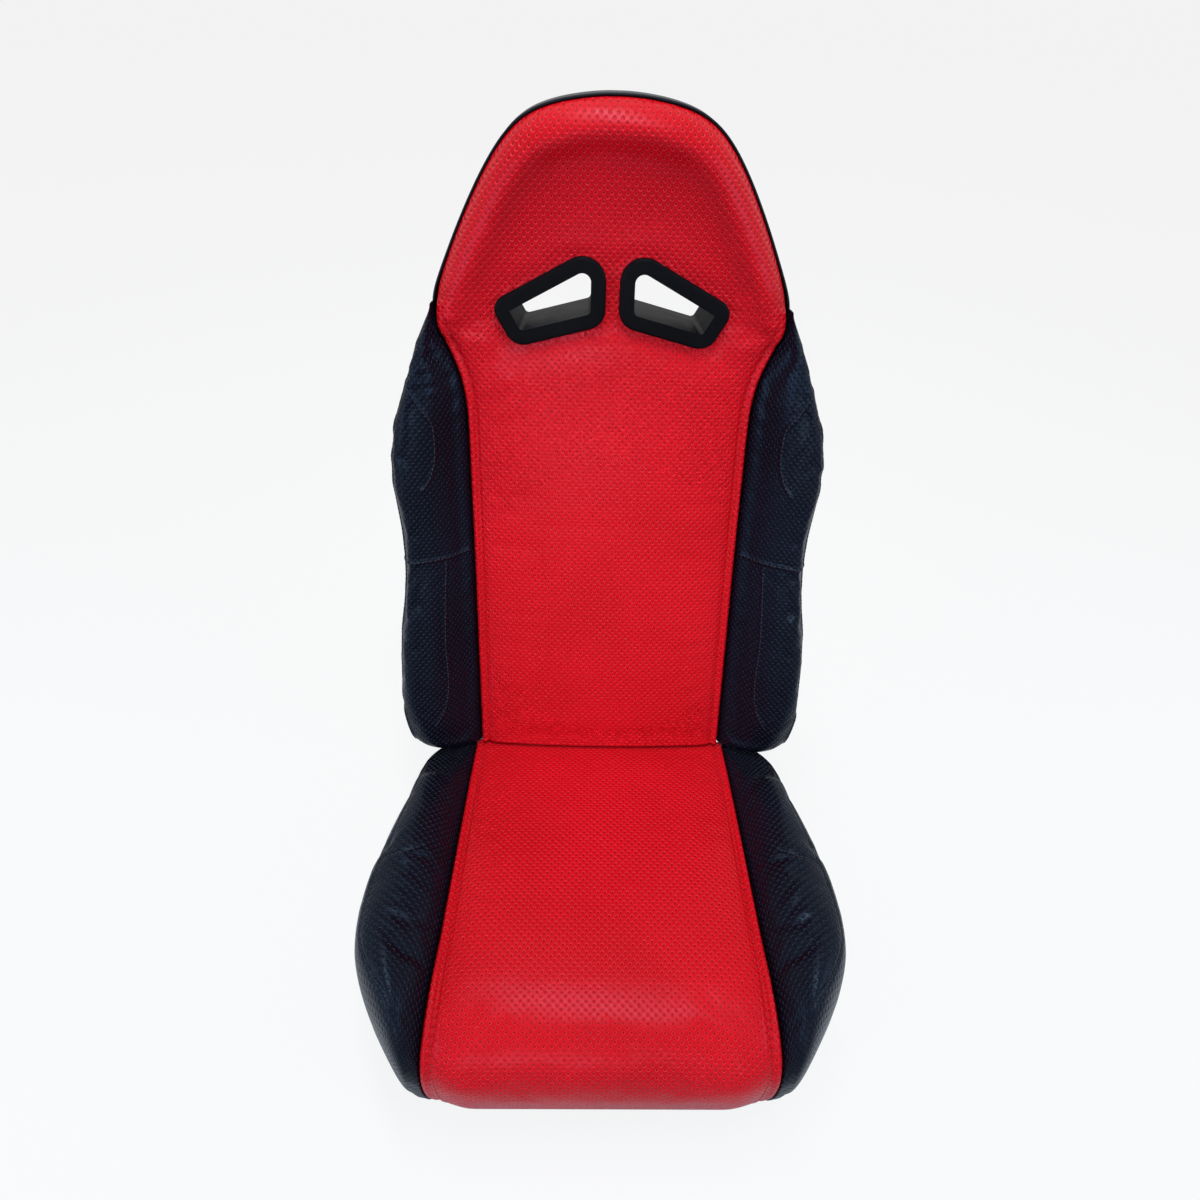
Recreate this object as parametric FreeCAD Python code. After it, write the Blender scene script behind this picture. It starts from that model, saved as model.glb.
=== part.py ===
import FreeCAD, Part
import math
import os

# Racing seat: an upholstered base and back on a bent tube frame, on sprung-latch slide rails.
# Millimetres. X runs across the seat, the occupant faces -Y, Z is up.
# The origin is on the floor, at the centre of the four floor bolts.

V = FreeCAD.Vector

# Slide rails
RAIL_X = 140.0
RAIL_LENGTH = 400.0
RAIL_TONGUE = 28.0
TONGUE_CORNER = 10.0
RAIL_WIDTH = 44.0
RAIL_HEIGHT = 20.0
SHEET = 2.5
LIP_OPENING = 27.0
FLOOR_HOLE_Y = 214.0
FLOOR_HOLE_RADIUS = 4.25
UPPER_LENGTH = 300.0
UPPER_WIDTH = 24.0
UPPER_TOP = 36.0
FLANGE_REACH = 5.5
FLANGE_BOTTOM = 8.0
SLIDE_TRAVEL = 55.0
RUNNING_GAP = 0.3
SHOE_LENGTH = 36.0
SHOE_Y = 120.0
STOP_THICKNESS = 3.0
NOTCH_PITCH = 14.0
NOTCH_WIDTH = 7.0
NOTCH_COUNT = 9
NOTCH_DEPTH = 6.0

# Fasteners
BOLT = 8.0
BOLT_HEAD_ACROSS = 13.0
BOLT_HEAD_HEIGHT = 5.3
NUT_HEIGHT = 6.5
BOLT_CLEARANCE = 0.3
THREAD_GAP = 0.05

# Release bar and latch
BAR_DIAMETER = 10.0
ARM_TO_RAIL = 28.0
BAR_ARM_X = RAIL_X - ARM_TO_RAIL
BAR_FRONT_Y = -226.0
BAR_BEND = 30.0
PIVOT_Y = 60.0
PIVOT_OVER_RAIL = 5.0
PIVOT_Z = RAIL_HEIGHT + PIVOT_OVER_RAIL
PIVOT_PIN_DIAMETER = 6.0
EYE_DIAMETER = 16.0
EYE_WIDTH = 9.0
LATCH_Y = -60.0
LATCH_SHEET = 3.0
TOOTH_WIDTH = 5.0
TOOTH_COUNT = 3
TOOTH_DROP = 2.0
GRIP_DIAMETER = 15.0
GRIP_LENGTH = 120.0
SPRING_WIRE = 1.4
SPRING_PIN_GAP = 0.25
SPRING_TURNS = 3
SPRING_SIDE_GAP = 0.6
LATCH_GAP = 0.4
LATCH_SIDE_GAP = 0.8

# Base frame
TUBE = 22.0
TUBE_WALL = 1.8
FRAME_X = RAIL_X
FRAME_FRONT_Y = -226.0
FRAME_REAR_Y = 158.0
FRAME_BEND = 45.0
CROSS_TUBE = 18.0
CROSS_TUBE_YS = (-150.0, -14.0)
SADDLE_YS = (-80.0, 50.0)
SADDLE_LENGTH = 40.0
SADDLE_TAB = 28.0
SADDLE_SHEET = 3.0
HEAD_TO_TUBE = 2.7
FRAME_Z = UPPER_TOP + SADDLE_SHEET + BOLT_HEAD_HEIGHT + HEAD_TO_TUBE + TUBE / 2

# Seat springs
WIRE = 4.0
SPRING_BENDS = 11
SPRING_END_RUN = 18.0
SPRING_SWING = 3.0
PAD_SHEET = 2.0
CLIP_WIDTH = 16.0
CLIP_LENGTH = 14.0
CLIP_ROOF = 1.6
CLIP_GAP = 0.15
CLIP_TO_BEND = 11.0
SPRING_REACH = FRAME_X - FRAME_BEND - CLIP_TO_BEND - CLIP_WIDTH / 2
SPRING_XS = (-SPRING_REACH, 0.0, SPRING_REACH)

# Crease between base and back, the base's tilt and the back's recline
CREASE_Y = 128.0
CREASE_OVER_FRAME = 82.0
CREASE_Z = FRAME_Z + CREASE_OVER_FRAME
BASE_TILT = 7.0
RECLINE_LOW = 20.0
RECLINE_TOP = 5.0
SPINE_STRAIGHT = 289.0
SPINE_CURVED = 385.0

# Base cushions
BASE_TOP_LENGTH = 318.0
BASE_FRONT_Y = -268.0
BASE_REAR_Y = 140.0
UNDERSIDE_BELOW_FRAME = 2.0
BASE_UNDERSIDE = FRAME_Z - UNDERSIDE_BELOW_FRAME
BASE_PANEL_HALF = 163.0
BASE_HALF_WIDTH = 230.0
BASE_CROWN = 7.0
BASE_EDGE_DROP = 9.0
BASE_BOLSTER_RISE = 32.0
APRON_THICKNESS = 26.0
CUSHION_GAP = 0.6
COVER_GAP = 1.8

# Back cushions
BACK_FOAM = 45.0
COVER_SHEET = 2.5
COVER_ROOM = 7.5
COVER_CORNER = 22.0
BACK_CROWN = 8.0
HEAD_DISH = 6.0
HEAD_RIM = 9.0
HEAD_RIM_WIDTH = 42.0
SEAM_RADIUS = 12.0
# Station up the back, half width there, and how far the bolster stands out
BACK_STATIONS = [(4, 222, 30), (40, 236, 44), (110, 242, 48), (250, 228, 42),
                 (345, 234, 50), (440, 220, 44), (490, 205, 26), (530, 189, 9)]
BACK_PANEL_HALF = 152.0
PANEL_AT_SHOULDER = 171.0
HEAD_STATIONS = [(530, 188), (570, 171), (620, 145), (670, 114), (698, 78), (711, 42)]
SHOULDER_STATION = 490

# Harness slots, as corners across and up the back, with the corner radii
SLOT_CORNERS = [(101, 490), (7, 514), (7, 595), (125, 533)]
SLOT_RADII = (20, 20, 24, 14)
SLOT_STATION = 540.0
BEZEL_BAND = 15.0
BEZEL_FACE = 6.0
BEZEL_WALL = 2.5
BEZEL_SEAT = -3.0
SLEEVE_JOINT = -52.0
SLOT_GAP = 0.4

# Back frame
BACK_FRAME_TOP = 640.0
BACK_FRAME_BEND = 68.0
BACK_CROSS_STATIONS = (105.0, 455.0)
STRAP_STATIONS = (180.0, 270.0, 360.0)
STRAP_WIDTH = 40.0
STRAP_SHEET = 2.0
BRACKET_SHEET = 4.0
BRACKET_GAP = 0.2
RIVET_STATIONS = (60.0, 200.0, 340.0, 450.0)
RIVET_X = 184.0
RIVET_HEAD = 14.0
RIVET_SHANK = 5.0
REAR_FACE_GAP = 1.4
REAR_FACE = 5.0
SCREW_HEAD_RADIUS = 3.2
SCREW_HEAD_HEIGHT = 2.0
SCREW_SHARE = 0.76
FRAME_KNEE_TOP = 540.0

SPINE_RADIUS = SPINE_CURVED / math.radians(RECLINE_LOW - RECLINE_TOP)
STRAP_TO_FOAM = 1.0
FRAME_DEPTH = BACK_FOAM + STRAP_TO_FOAM + STRAP_SHEET + TUBE / 2
BACK_DEPTH = FRAME_DEPTH + TUBE / 2 + COVER_ROOM + COVER_SHEET
SLOT_CORNERS_LOCAL = [(x, station - SLOT_STATION) for x, station in SLOT_CORNERS]


os.makedirs("parts", exist_ok=True)


def export(name, shape):
    shape.exportStep("parts/" + name + ".step")
    volume = round(shape.Volume / 1000, 1)
    print(name, "solids", len(shape.Solids), "valid", shape.isValid(), "volume", volume)


def compound(shapes):
    return Part.makeCompound(shapes)


def box(x0, x1, y0, y1, z0, z1):
    low = V(min(x0, x1), y0, z0)
    return Part.makeBox(abs(x1 - x0), y1 - y0, z1 - z0, low)


def mirrored(shape):
    return shape.mirror(V(0, 0, 0), V(1, 0, 0))


def line(a, b):
    return Part.LineSegment(a, b).toShape()


def arc(a, middle, b):
    return Part.Arc(a, middle, b).toShape()


def face_of(points):
    return Part.Face(Part.makePolygon(points + [points[0]]))


# A closed outline with round corners, from corner points in the XY plane
def rounded_outline(corners, radii):
    edges = []
    count = len(corners)
    starts = []
    ends = []
    middles = []
    for i in range(count):
        here = V(corners[i][0], corners[i][1], 0)
        before = V(corners[i - 1][0], corners[i - 1][1], 0)
        after = V(corners[(i + 1) % count][0], corners[(i + 1) % count][1], 0)
        to_before = (before - here).normalize()
        to_after = (after - here).normalize()
        half = to_before.getAngle(to_after) / 2
        reach = radii[i] / math.tan(half)
        bisector = (to_before + to_after).normalize()
        centre = here + bisector * (radii[i] / math.sin(half))
        starts.append(here + to_before * reach)
        ends.append(here + to_after * reach)
        middles.append(centre - bisector * radii[i])
    for i in range(count):
        edges.append(arc(starts[i], middles[i], ends[i]))
        edges.append(line(ends[i], starts[(i + 1) % count]))
    return Part.Wire(edges)


# A round bar along a tangent path of lines and arcs, solid or as a tube
def swept(edges, diameter, wall=0.0):
    pieces = []
    for edge in edges:
        start = edge.valueAt(edge.FirstParameter)
        heading = edge.tangentAt(edge.FirstParameter)
        section = Part.Face(Part.Wire([Part.makeCircle(diameter / 2, start, heading)]))
        if wall > 0.0:
            bore = Part.makeCircle(diameter / 2 - wall, start, heading)
            section = section.cut(Part.Face(Part.Wire([bore]))).Faces[0]
        if isinstance(edge.Curve, Part.Circle):
            centre = edge.Curve.Center
            axis = (start - centre).cross(heading)
            pieces.append(section.revolve(centre, axis, math.degrees(edge.Length / edge.Curve.Radius)))
        else:
            pieces.append(section.extrude(heading * edge.Length))
    return pieces[0].multiFuse(pieces[1:])


# A point of the back: station along the spine, height off its front face, and across
def spine_angle(station):
    if station <= SPINE_STRAIGHT:
        return math.radians(RECLINE_LOW)
    curved = min(station - SPINE_STRAIGHT, SPINE_CURVED)
    return math.radians(RECLINE_LOW) - curved / SPINE_RADIUS


def back_point(x, station, out):
    low = math.radians(RECLINE_LOW)
    angle = spine_angle(station)
    straight = min(station, SPINE_STRAIGHT)
    beyond = max(station - SPINE_STRAIGHT - SPINE_CURVED, 0.0)
    y = straight * math.sin(low) + SPINE_RADIUS * (math.cos(angle) - math.cos(low)) + beyond * math.sin(angle)
    z = straight * math.cos(low) + SPINE_RADIUS * (math.sin(low) - math.sin(angle)) + beyond * math.cos(angle)
    return V(x, CREASE_Y + y - out * math.cos(angle), CREASE_Z + z + out * math.sin(angle))


# Placement whose X is across, Y up the back and Z out of its front face
def on_back(station):
    tilt = 90.0 - math.degrees(spine_angle(station))
    return FreeCAD.Placement(back_point(0, station, 0), FreeCAD.Rotation(V(1, 0, 0), tilt))


def hexagon(across, height):
    radius = across / math.sqrt(3)
    corners = []
    for i in range(6):
        angle = math.radians(60 * i)
        corners.append(V(radius * math.cos(angle), radius * math.sin(angle), 0))
    return face_of(corners).extrude(V(0, 0, height))


def hex_bolt(length):
    head = hexagon(BOLT_HEAD_ACROSS, BOLT_HEAD_HEIGHT)
    return head.fuse(Part.makeCylinder(BOLT / 2, length, V(0, 0, -length)))


def hex_nut():
    return hexagon(BOLT_HEAD_ACROSS, NUT_HEIGHT).cut(Part.makeCylinder(BOLT / 2 + THREAD_GAP, NUT_HEIGHT))


# Lower rail: a lipped channel with floor tongues, travel stops and latch notches
def lower_rail():
    half = RAIL_WIDTH / 2
    lip = LIP_OPENING / 2
    profile = [(-half, 0), (half, 0), (half, RAIL_HEIGHT), (lip, RAIL_HEIGHT),
               (lip, RAIL_HEIGHT - SHEET), (half - SHEET, RAIL_HEIGHT - SHEET), (half - SHEET, SHEET),
               (SHEET - half, SHEET), (SHEET - half, RAIL_HEIGHT - SHEET), (-lip, RAIL_HEIGHT - SHEET),
               (-lip, RAIL_HEIGHT), (-half, RAIL_HEIGHT)]
    end = RAIL_LENGTH / 2
    rail = face_of([V(x, -end, z) for x, z in profile]).extrude(V(0, RAIL_LENGTH, 0))
    tongue_end = end + RAIL_TONGUE
    for side in (-1, 1):
        near, far = sorted((side * (end - 1), side * tongue_end))
        tongue = box(-half + 6, half - 6, near, far, 0, SHEET)
        upright = [e for e in tongue.Edges if abs(e.Length - SHEET) < 0.01]
        corners = [e for e in upright if abs(e.CenterOfMass.y) > end + 1]
        rail = rail.fuse(tongue.makeFillet(TONGUE_CORNER, corners))
        stop = side * (SHOE_Y + SHOE_LENGTH / 2 + SLIDE_TRAVEL + STOP_THICKNESS / 2 + RUNNING_GAP)
        for wall in (-1, 1):
            rail = rail.fuse(box(wall * (UPPER_WIDTH / 2 + 0.5), wall * (half - 1), stop - STOP_THICKNESS / 2,
                                 stop + STOP_THICKNESS / 2, SHEET - 0.5, FLANGE_BOTTOM - 1))
        rail = rail.cut(Part.makeCylinder(FLOOR_HOLE_RADIUS, SHEET * 3, V(0, side * FLOOR_HOLE_Y, -SHEET)))
    for i in range(NOTCH_COUNT):
        y = LATCH_Y + (i - NOTCH_COUNT // 2) * NOTCH_PITCH
        notch = box(-lip - NOTCH_DEPTH, -lip + 1, y - NOTCH_WIDTH / 2, y + NOTCH_WIDTH / 2,
                    RAIL_HEIGHT - SHEET - 1, RAIL_HEIGHT + 1)
        rail = rail.cut(notch)
    return rail.removeSplitter()


# Upper rail: an inverted channel whose foot flanges run under the lower rail's lips
def upper_rail():
    half = UPPER_WIDTH / 2
    wall = half - SHEET
    foot = half + FLANGE_REACH
    top = FLANGE_BOTTOM + SHEET
    profile = [(-foot, FLANGE_BOTTOM), (-wall, FLANGE_BOTTOM), (-wall, UPPER_TOP - SHEET),
               (wall, UPPER_TOP - SHEET), (wall, FLANGE_BOTTOM), (foot, FLANGE_BOTTOM), (foot, top),
               (half, top), (half, UPPER_TOP), (-half, UPPER_TOP), (-half, top), (-foot, top)]
    end = UPPER_LENGTH / 2
    rail = face_of([V(x, -end, z) for x, z in profile]).extrude(V(0, UPPER_LENGTH, 0))
    for y in saddle_bolt_ys():
        seat = V(0, y, UPPER_TOP - 2 * SHEET)
        rail = rail.cut(Part.makeCylinder(BOLT / 2 + BOLT_CLEARANCE, 3 * SHEET, seat))
    seat = V(-half - SHEET / 2, PIVOT_Y, PIVOT_Z)
    return rail.cut(Part.makeCylinder(PIVOT_PIN_DIAMETER / 2, SHEET * 2, seat, V(1, 0, 0)))


def saddle_bolt_ys():
    reach = SADDLE_LENGTH / 2 + SADDLE_TAB / 2
    return (SADDLE_YS[0] + reach, SADDLE_YS[1] - reach)


# Nylon shoes that wrap each foot flange and run in the lower rail
def glide_shoes():
    half = UPPER_WIDTH / 2
    foot = half + FLANGE_REACH
    low = SHEET + RUNNING_GAP
    high = RAIL_HEIGHT - SHEET - RUNNING_GAP
    outer = RAIL_WIDTH / 2 - SHEET - RUNNING_GAP
    shoes = []
    for side_x in (-1, 1):
        for y in (-SHOE_Y, SHOE_Y):
            block = box(side_x * (half + RUNNING_GAP), side_x * outer, y - SHOE_LENGTH / 2,
                        y + SHOE_LENGTH / 2, low, high)
            slot = box(side_x * half, side_x * (foot + 0.1), y - SHOE_LENGTH, y + SHOE_LENGTH,
                       FLANGE_BOTTOM - 0.1, FLANGE_BOTTOM + SHEET + 0.1)
            shoes.append(block.cut(slot))
    return compound(shoes)


# Sheet saddles on the upper rails that hold the base frame's side tubes
def frame_saddles():
    saddles = []
    inner = TUBE / 2 + 0.1
    outer = inner + SADDLE_SHEET
    for x in (-FRAME_X, FRAME_X):
        for side, y in zip((-1, 1), SADDLE_YS):
            tab = y - side * (SADDLE_LENGTH / 2 + SADDLE_TAB)
            near, far = sorted((tab, y + side * SADDLE_LENGTH / 2))
            plate = box(x - outer, x + outer, near, far, UPPER_TOP, UPPER_TOP + SADDLE_SHEET)
            for wall in (-1, 1):
                plate = plate.fuse(box(x + wall * inner, x + wall * outer, y - SADDLE_LENGTH / 2,
                                       y + SADDLE_LENGTH / 2, UPPER_TOP, FRAME_Z + 2))
            bolt_y = saddle_bolt_ys()[0] if side < 0 else saddle_bolt_ys()[1]
            seat = V(x, bolt_y, UPPER_TOP - SADDLE_SHEET)
            hole = Part.makeCylinder(BOLT / 2 + BOLT_CLEARANCE, 4 * SADDLE_SHEET, seat)
            saddles.append(plate.cut(hole).removeSplitter())
    return compound(saddles)


def saddle_bolts():
    bolts = []
    length = SADDLE_SHEET + SHEET + NUT_HEIGHT + 1.5
    for x in (-RAIL_X, RAIL_X):
        for y in saddle_bolt_ys():
            bolt = hex_bolt(length)
            bolt.translate(V(x, y, UPPER_TOP + SADDLE_SHEET))
            bolts.append(bolt)
    return compound(bolts)


def saddle_nuts():
    nuts = []
    for x in (-RAIL_X, RAIL_X):
        for y in saddle_bolt_ys():
            nut = hex_nut()
            nut.translate(V(x, y, UPPER_TOP - SHEET - NUT_HEIGHT))
            nuts.append(nut)
    return compound(nuts)


# Round-cornered tube loop that carries the base
def base_loop_path():
    x = FRAME_X
    r = FRAME_BEND
    k = r * (1 - math.sqrt(0.5))
    z = FRAME_Z
    y0 = FRAME_FRONT_Y
    y1 = FRAME_REAR_Y
    return [line(V(0, y0, z), V(x - r, y0, z)),
            arc(V(x - r, y0, z), V(x - k, y0 + k, z), V(x, y0 + r, z)),
            line(V(x, y0 + r, z), V(x, y1 - r, z)),
            arc(V(x, y1 - r, z), V(x - k, y1 - k, z), V(x - r, y1, z)),
            line(V(x - r, y1, z), V(0, y1, z))]


def base_frame():
    half = swept(base_loop_path(), TUBE, TUBE_WALL)
    return half.fuse(mirrored(half)).removeSplitter()


def base_frame_envelope():
    half = swept(base_loop_path(), TUBE)
    return half.fuse(mirrored(half))


def base_cross_tubes():
    tubes = []
    envelope = base_frame_envelope()
    for y in CROSS_TUBE_YS:
        start = V(-FRAME_X, y, FRAME_Z)
        tube = Part.makeCylinder(CROSS_TUBE / 2, 2 * FRAME_X, start, V(1, 0, 0))
        bore = Part.makeCylinder(CROSS_TUBE / 2 - TUBE_WALL, 2 * FRAME_X, start, V(1, 0, 0))
        tubes.append(tube.cut(bore).cut(envelope).Solids[0])
    return compound(tubes)


# Zigzag seat springs: half-turn bends joined by short straights, front tube to rear tube
def zigzag_spring(x):
    z = FRAME_Z + TUBE / 2 + WIRE / 2 + 0.1
    span = FRAME_REAR_Y - FRAME_FRONT_Y
    radius = (span - 2 * SPRING_END_RUN) / (2 * (SPRING_BENDS + 1))
    diagonal = radius * math.sqrt(0.5)
    y = FRAME_FRONT_Y + SPRING_END_RUN
    entry = V(x, y, z)
    last = V(x + radius, y + radius, z)
    edges = [line(V(x, FRAME_FRONT_Y, z), entry),
             arc(entry, V(x + radius - diagonal, y + diagonal, z), last)]
    side = 1
    for i in range(SPRING_BENDS):
        turn = V(x + side * (radius + SPRING_SWING), last.y, z)
        edges.append(line(last, turn))
        last = turn + V(0, 2 * radius, 0)
        edges.append(arc(turn, turn + V(side * radius, radius, 0), last))
        side = -side
    leave = V(x - side * radius, last.y, z)
    edges.append(line(last, leave))
    middle = leave + V(side * diagonal, radius - diagonal, 0)
    end = leave + V(side * radius, radius, 0)
    edges.append(arc(leave, middle, end))
    edges.append(line(end, V(x, FRAME_REAR_Y, z)))
    return swept(edges, WIRE)


def seat_springs():
    return compound([zigzag_spring(x) for x in SPRING_XS])


# Folded sheet clips that hold each spring end on the front and rear tubes
def spring_clips():
    clips = []
    z = FRAME_Z + TUBE / 2
    slot = WIRE / 2 + CLIP_GAP
    for x in SPRING_XS:
        for y in (FRAME_FRONT_Y, FRAME_REAR_Y):
            block = box(x - CLIP_WIDTH / 2, x + CLIP_WIDTH / 2, y - CLIP_LENGTH / 2, y + CLIP_LENGTH / 2,
                        z - 1, z + WIRE + CLIP_ROOF)
            wire = box(x - slot, x + slot, y - CLIP_LENGTH, y + CLIP_LENGTH, z - 2, z + WIRE + 0.1 + CLIP_GAP)
            tube = Part.makeCylinder(TUBE / 2 + 0.05, 40, V(x - 20, y, FRAME_Z), V(1, 0, 0))
            clips.append(block.cut(wire).cut(tube).removeSplitter())
    return compound(clips)


# Felt between the springs and the foam
def spring_felt():
    z = felt_bottom()
    x = FRAME_X + 8
    sheet = box(-x, x, BASE_FRONT_Y + APRON_THICKNESS + 2, BASE_REAR_Y - 6, z, z + PAD_SHEET)
    corners = [e for e in sheet.Edges if abs(e.Length - PAD_SHEET) < 0.01]
    return sheet.makeFillet(20, corners)


def felt_bottom():
    return FRAME_Z + TUBE / 2 + WIRE + 2.0


def foam_bottom():
    return felt_bottom() + PAD_SHEET + 0.3


def base_top(y):
    return CREASE_Z + (CREASE_Y - y) * math.tan(math.radians(BASE_TILT))


# Side profile of a base cushion, from rear to front roll and round to the underside
def base_profile(x, rise, crown, pull, rear, underside, apron):
    top_front_y = CREASE_Y - BASE_TOP_LENGTH * math.cos(math.radians(BASE_TILT)) + pull
    front_y = BASE_FRONT_Y + pull
    top_front = V(x, top_front_y, base_top(top_front_y) + rise)
    top_rear = V(x, rear, base_top(rear) + rise * 0.6)
    mid_y = (rear + top_front_y) / 2
    middle = V(x, mid_y, (top_front.z + top_rear.z) / 2 + crown)
    nose = V(x, front_y, underside + (top_front.z - underside) * 0.52)
    roll = V(x, front_y + (top_front_y - front_y) * 0.25, nose.z + (top_front.z - nose.z) * 0.70)
    toe = V(x, front_y + 9, underside)
    tuck = V(x, front_y + 2, (nose.z + underside) / 2)
    edges = [arc(top_rear, middle, top_front), arc(top_front, roll, nose), arc(nose, tuck, toe)]
    last = toe
    if apron:
        lip = V(x, BASE_FRONT_Y + APRON_THICKNESS, underside)
        inner = V(x, lip.y, foam_bottom())
        edges.append(line(toe, lip))
        edges.append(line(lip, inner))
        last = inner
    bottom_rear = V(x, rear, last.z)
    edges.append(line(last, bottom_rear))
    edges.append(line(bottom_rear, top_rear))
    return Part.Wire(edges)


# The back overhangs the base, which is cut along the back's underside
def under_back():
    cutter = box(-1.2 * BASE_HALF_WIDTH, 1.2 * BASE_HALF_WIDTH, BACK_STATIONS[0][0] - 2.0, 200, -200, 100)
    cutter.Placement = on_back(0)
    return cutter


def base_center_pad():
    half = BASE_PANEL_HALF
    shoulder = half - SEAM_RADIUS
    wires = []
    stations = [(0, 0, BASE_CROWN, 0), (shoulder / 2, 0, 6, 0), (shoulder, -2, 5, 2),
                (half, -BASE_EDGE_DROP, 2, 9)]
    for x, rise, crown, pull in [(-x, *rest) for x, *rest in stations[:0:-1]] + stations:
        wires.append(base_profile(x, rise, crown, pull, BASE_REAR_Y, BASE_UNDERSIDE, True))
    return Part.makeLoft(wires, True, False).cut(under_back())


def base_bolster():
    inner = BASE_PANEL_HALF + CUSHION_GAP
    outer = BASE_HALF_WIDTH
    rise = BASE_BOLSTER_RISE
    stations = [(inner, -BASE_EDGE_DROP, 2, 9, BASE_REAR_Y, BASE_UNDERSIDE),
                (inner + 18, rise * 0.72, 4, 12, BASE_REAR_Y - 3, BASE_UNDERSIDE),
                (outer - 30, rise, 5, 24, BASE_REAR_Y - 16, BASE_UNDERSIDE),
                (outer - 10, rise * 0.55, 5, 46, BASE_REAR_Y - 50, BASE_UNDERSIDE + 6),
                (outer, -rise * 0.5, 3, 84, BASE_REAR_Y - 120, BASE_UNDERSIDE + 26)]
    wires = [base_profile(*station[:6], False) for station in stations]
    return Part.makeLoft(wires, True, False).cut(under_back())


# Cross section of the back's centre panel: drawn-in edges, crown low down, dished head
def panel_section(station, half, corner, edge, front, middle):
    def point(x, out):
        return back_point(x, station, out)
    inner = half - corner
    bulge = edge + (front - edge) * 0.72
    edges = [line(point(-half, -BACK_FOAM), point(-half, edge)),
             arc(point(-half, edge), point(-half + corner * 0.30, bulge), point(-inner, front)),
             arc(point(-inner, front), point(0, middle), point(inner, front)),
             arc(point(inner, front), point(half - corner * 0.30, bulge), point(half, edge)),
             line(point(half, edge), point(half, -BACK_FOAM)),
             line(point(half, -BACK_FOAM), point(-half, -BACK_FOAM))]
    return Part.Wire(edges)


def panel_half(station):
    if station < SHOULDER_STATION:
        return BACK_PANEL_HALF
    return PANEL_AT_SHOULDER


# The centre panel and head as one loft, its outline grown by an amount
def panel_loft(grow):
    wires = []
    for station, half, rise in BACK_STATIONS[:-1]:
        share = min(1.0, max(0.0, (station - 250.0) / 240.0))
        middle = BACK_CROWN * (1 - share) - 2.0 * share
        wires.append(panel_section(station, panel_half(station) + grow, SEAM_RADIUS + 14 * share,
                                   -8.0, 1.0 + 3.0 * share, middle))
    last = HEAD_STATIONS[-1][0]
    for station, half in HEAD_STATIONS:
        roll = max(0.0, 1 - (last - station) / 40.0)
        corner = min(HEAD_RIM_WIDTH, half * 0.45)
        wires.append(panel_section(station, half + grow, corner, -14.0 - 14 * roll, HEAD_RIM - 22 * roll,
                                   -HEAD_DISH + (HEAD_DISH + HEAD_RIM) * roll - 20 * roll))
    return Part.makeLoft(wires, True, False)


def back_center_pad():
    pad = panel_loft(0.0)
    for side in (-1, 1):
        pad = pad.cut(slot_prism(side, SLOT_GAP, BEZEL_SEAT, 60))
        pad = pad.cut(slot_prism(side, BEZEL_WALL + SLOT_GAP - BEZEL_BAND, -100, 60))
    return pad


# Cross section of a back bolster: a rounded ridge outside the seam
def bolster_section(station, half, inner, rise):
    def point(x, out):
        return back_point(x, station, out)
    width = half - inner
    peak = inner + width * 0.52
    edges = [line(point(inner, -BACK_FOAM), point(inner, -8)),
             arc(point(inner, -8), point(inner + width * 0.20, rise * 0.62), point(peak, rise)),
             arc(point(peak, rise), point(half - width * 0.12, rise * 0.66), point(half, -2)),
             line(point(half, -2), point(half - 2, -BACK_FOAM)),
             line(point(half - 2, -BACK_FOAM), point(inner, -BACK_FOAM))]
    return Part.Wire(edges)


def back_bolster():
    wires = []
    for station, half, rise in BACK_STATIONS[:-1]:
        wires.append(bolster_section(station, half, panel_half(station) + CUSHION_GAP, rise))
    station, half, rise = BACK_STATIONS[-1]
    wires.append(bolster_section(station, half + 2, half - 5, rise))
    return Part.makeLoft(wires, True, False).cut(panel_loft(CUSHION_GAP))


# The rear cover is an open tray over the frame
def cover_section(station, half, depth, front, wall):
    def point(x, out):
        return back_point(x, station, out)
    radius = min(COVER_CORNER, depth - BACK_FOAM - 6) - wall
    side = half - wall
    back = -depth + wall
    k = radius * (1 - math.sqrt(0.5))
    edges = [line(point(-side, front), point(-side, back + radius)),
             arc(point(-side, back + radius), point(-side + k, back + k), point(-side + radius, back)),
             line(point(-side + radius, back), point(side - radius, back)),
             arc(point(side - radius, back), point(side - k, back + k), point(side, back + radius)),
             line(point(side, back + radius), point(side, front)),
             line(point(side, front), point(-side, front))]
    return Part.Wire(edges)


def cover_stations():
    stations = []
    for station, half, rise in BACK_STATIONS[:-1]:
        stations.append((station, half - 3, BACK_DEPTH))
    last = HEAD_STATIONS[-1][0]
    for station, half in HEAD_STATIONS:
        thin = max(0.0, 1 - (last - station) / 90.0)
        stations.append((station, half - 1, BACK_DEPTH - 18 * thin))
    return stations


def rear_cover():
    front = -BACK_FOAM - COVER_GAP
    outer = [cover_section(s, half, depth, front, 0.0) for s, half, depth in cover_stations()]
    shell = Part.makeLoft(outer, True, True)
    inner = []
    stations = cover_stations()
    for i, (s, half, depth) in enumerate(stations):
        place = s
        if i == 0:
            place = s - 6
        if i == len(stations) - 1:
            place = s - COVER_SHEET
        inner.append(cover_section(place, half, depth, front + 20, COVER_SHEET))
    shell = shell.cut(Part.makeLoft(inner, True, True))
    for side in (-1, 1):
        shell = shell.cut(slot_prism(side, BEZEL_WALL + SLOT_GAP - BEZEL_BAND, -100, -60))
    for x, place in rivet_places():
        hole = Part.makeCylinder(RIVET_SHANK / 2 + 0.1, 20, V(x, 0, -BACK_DEPTH - 10))
        hole.Placement = place
        shell = shell.cut(hole)
    return shell


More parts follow.
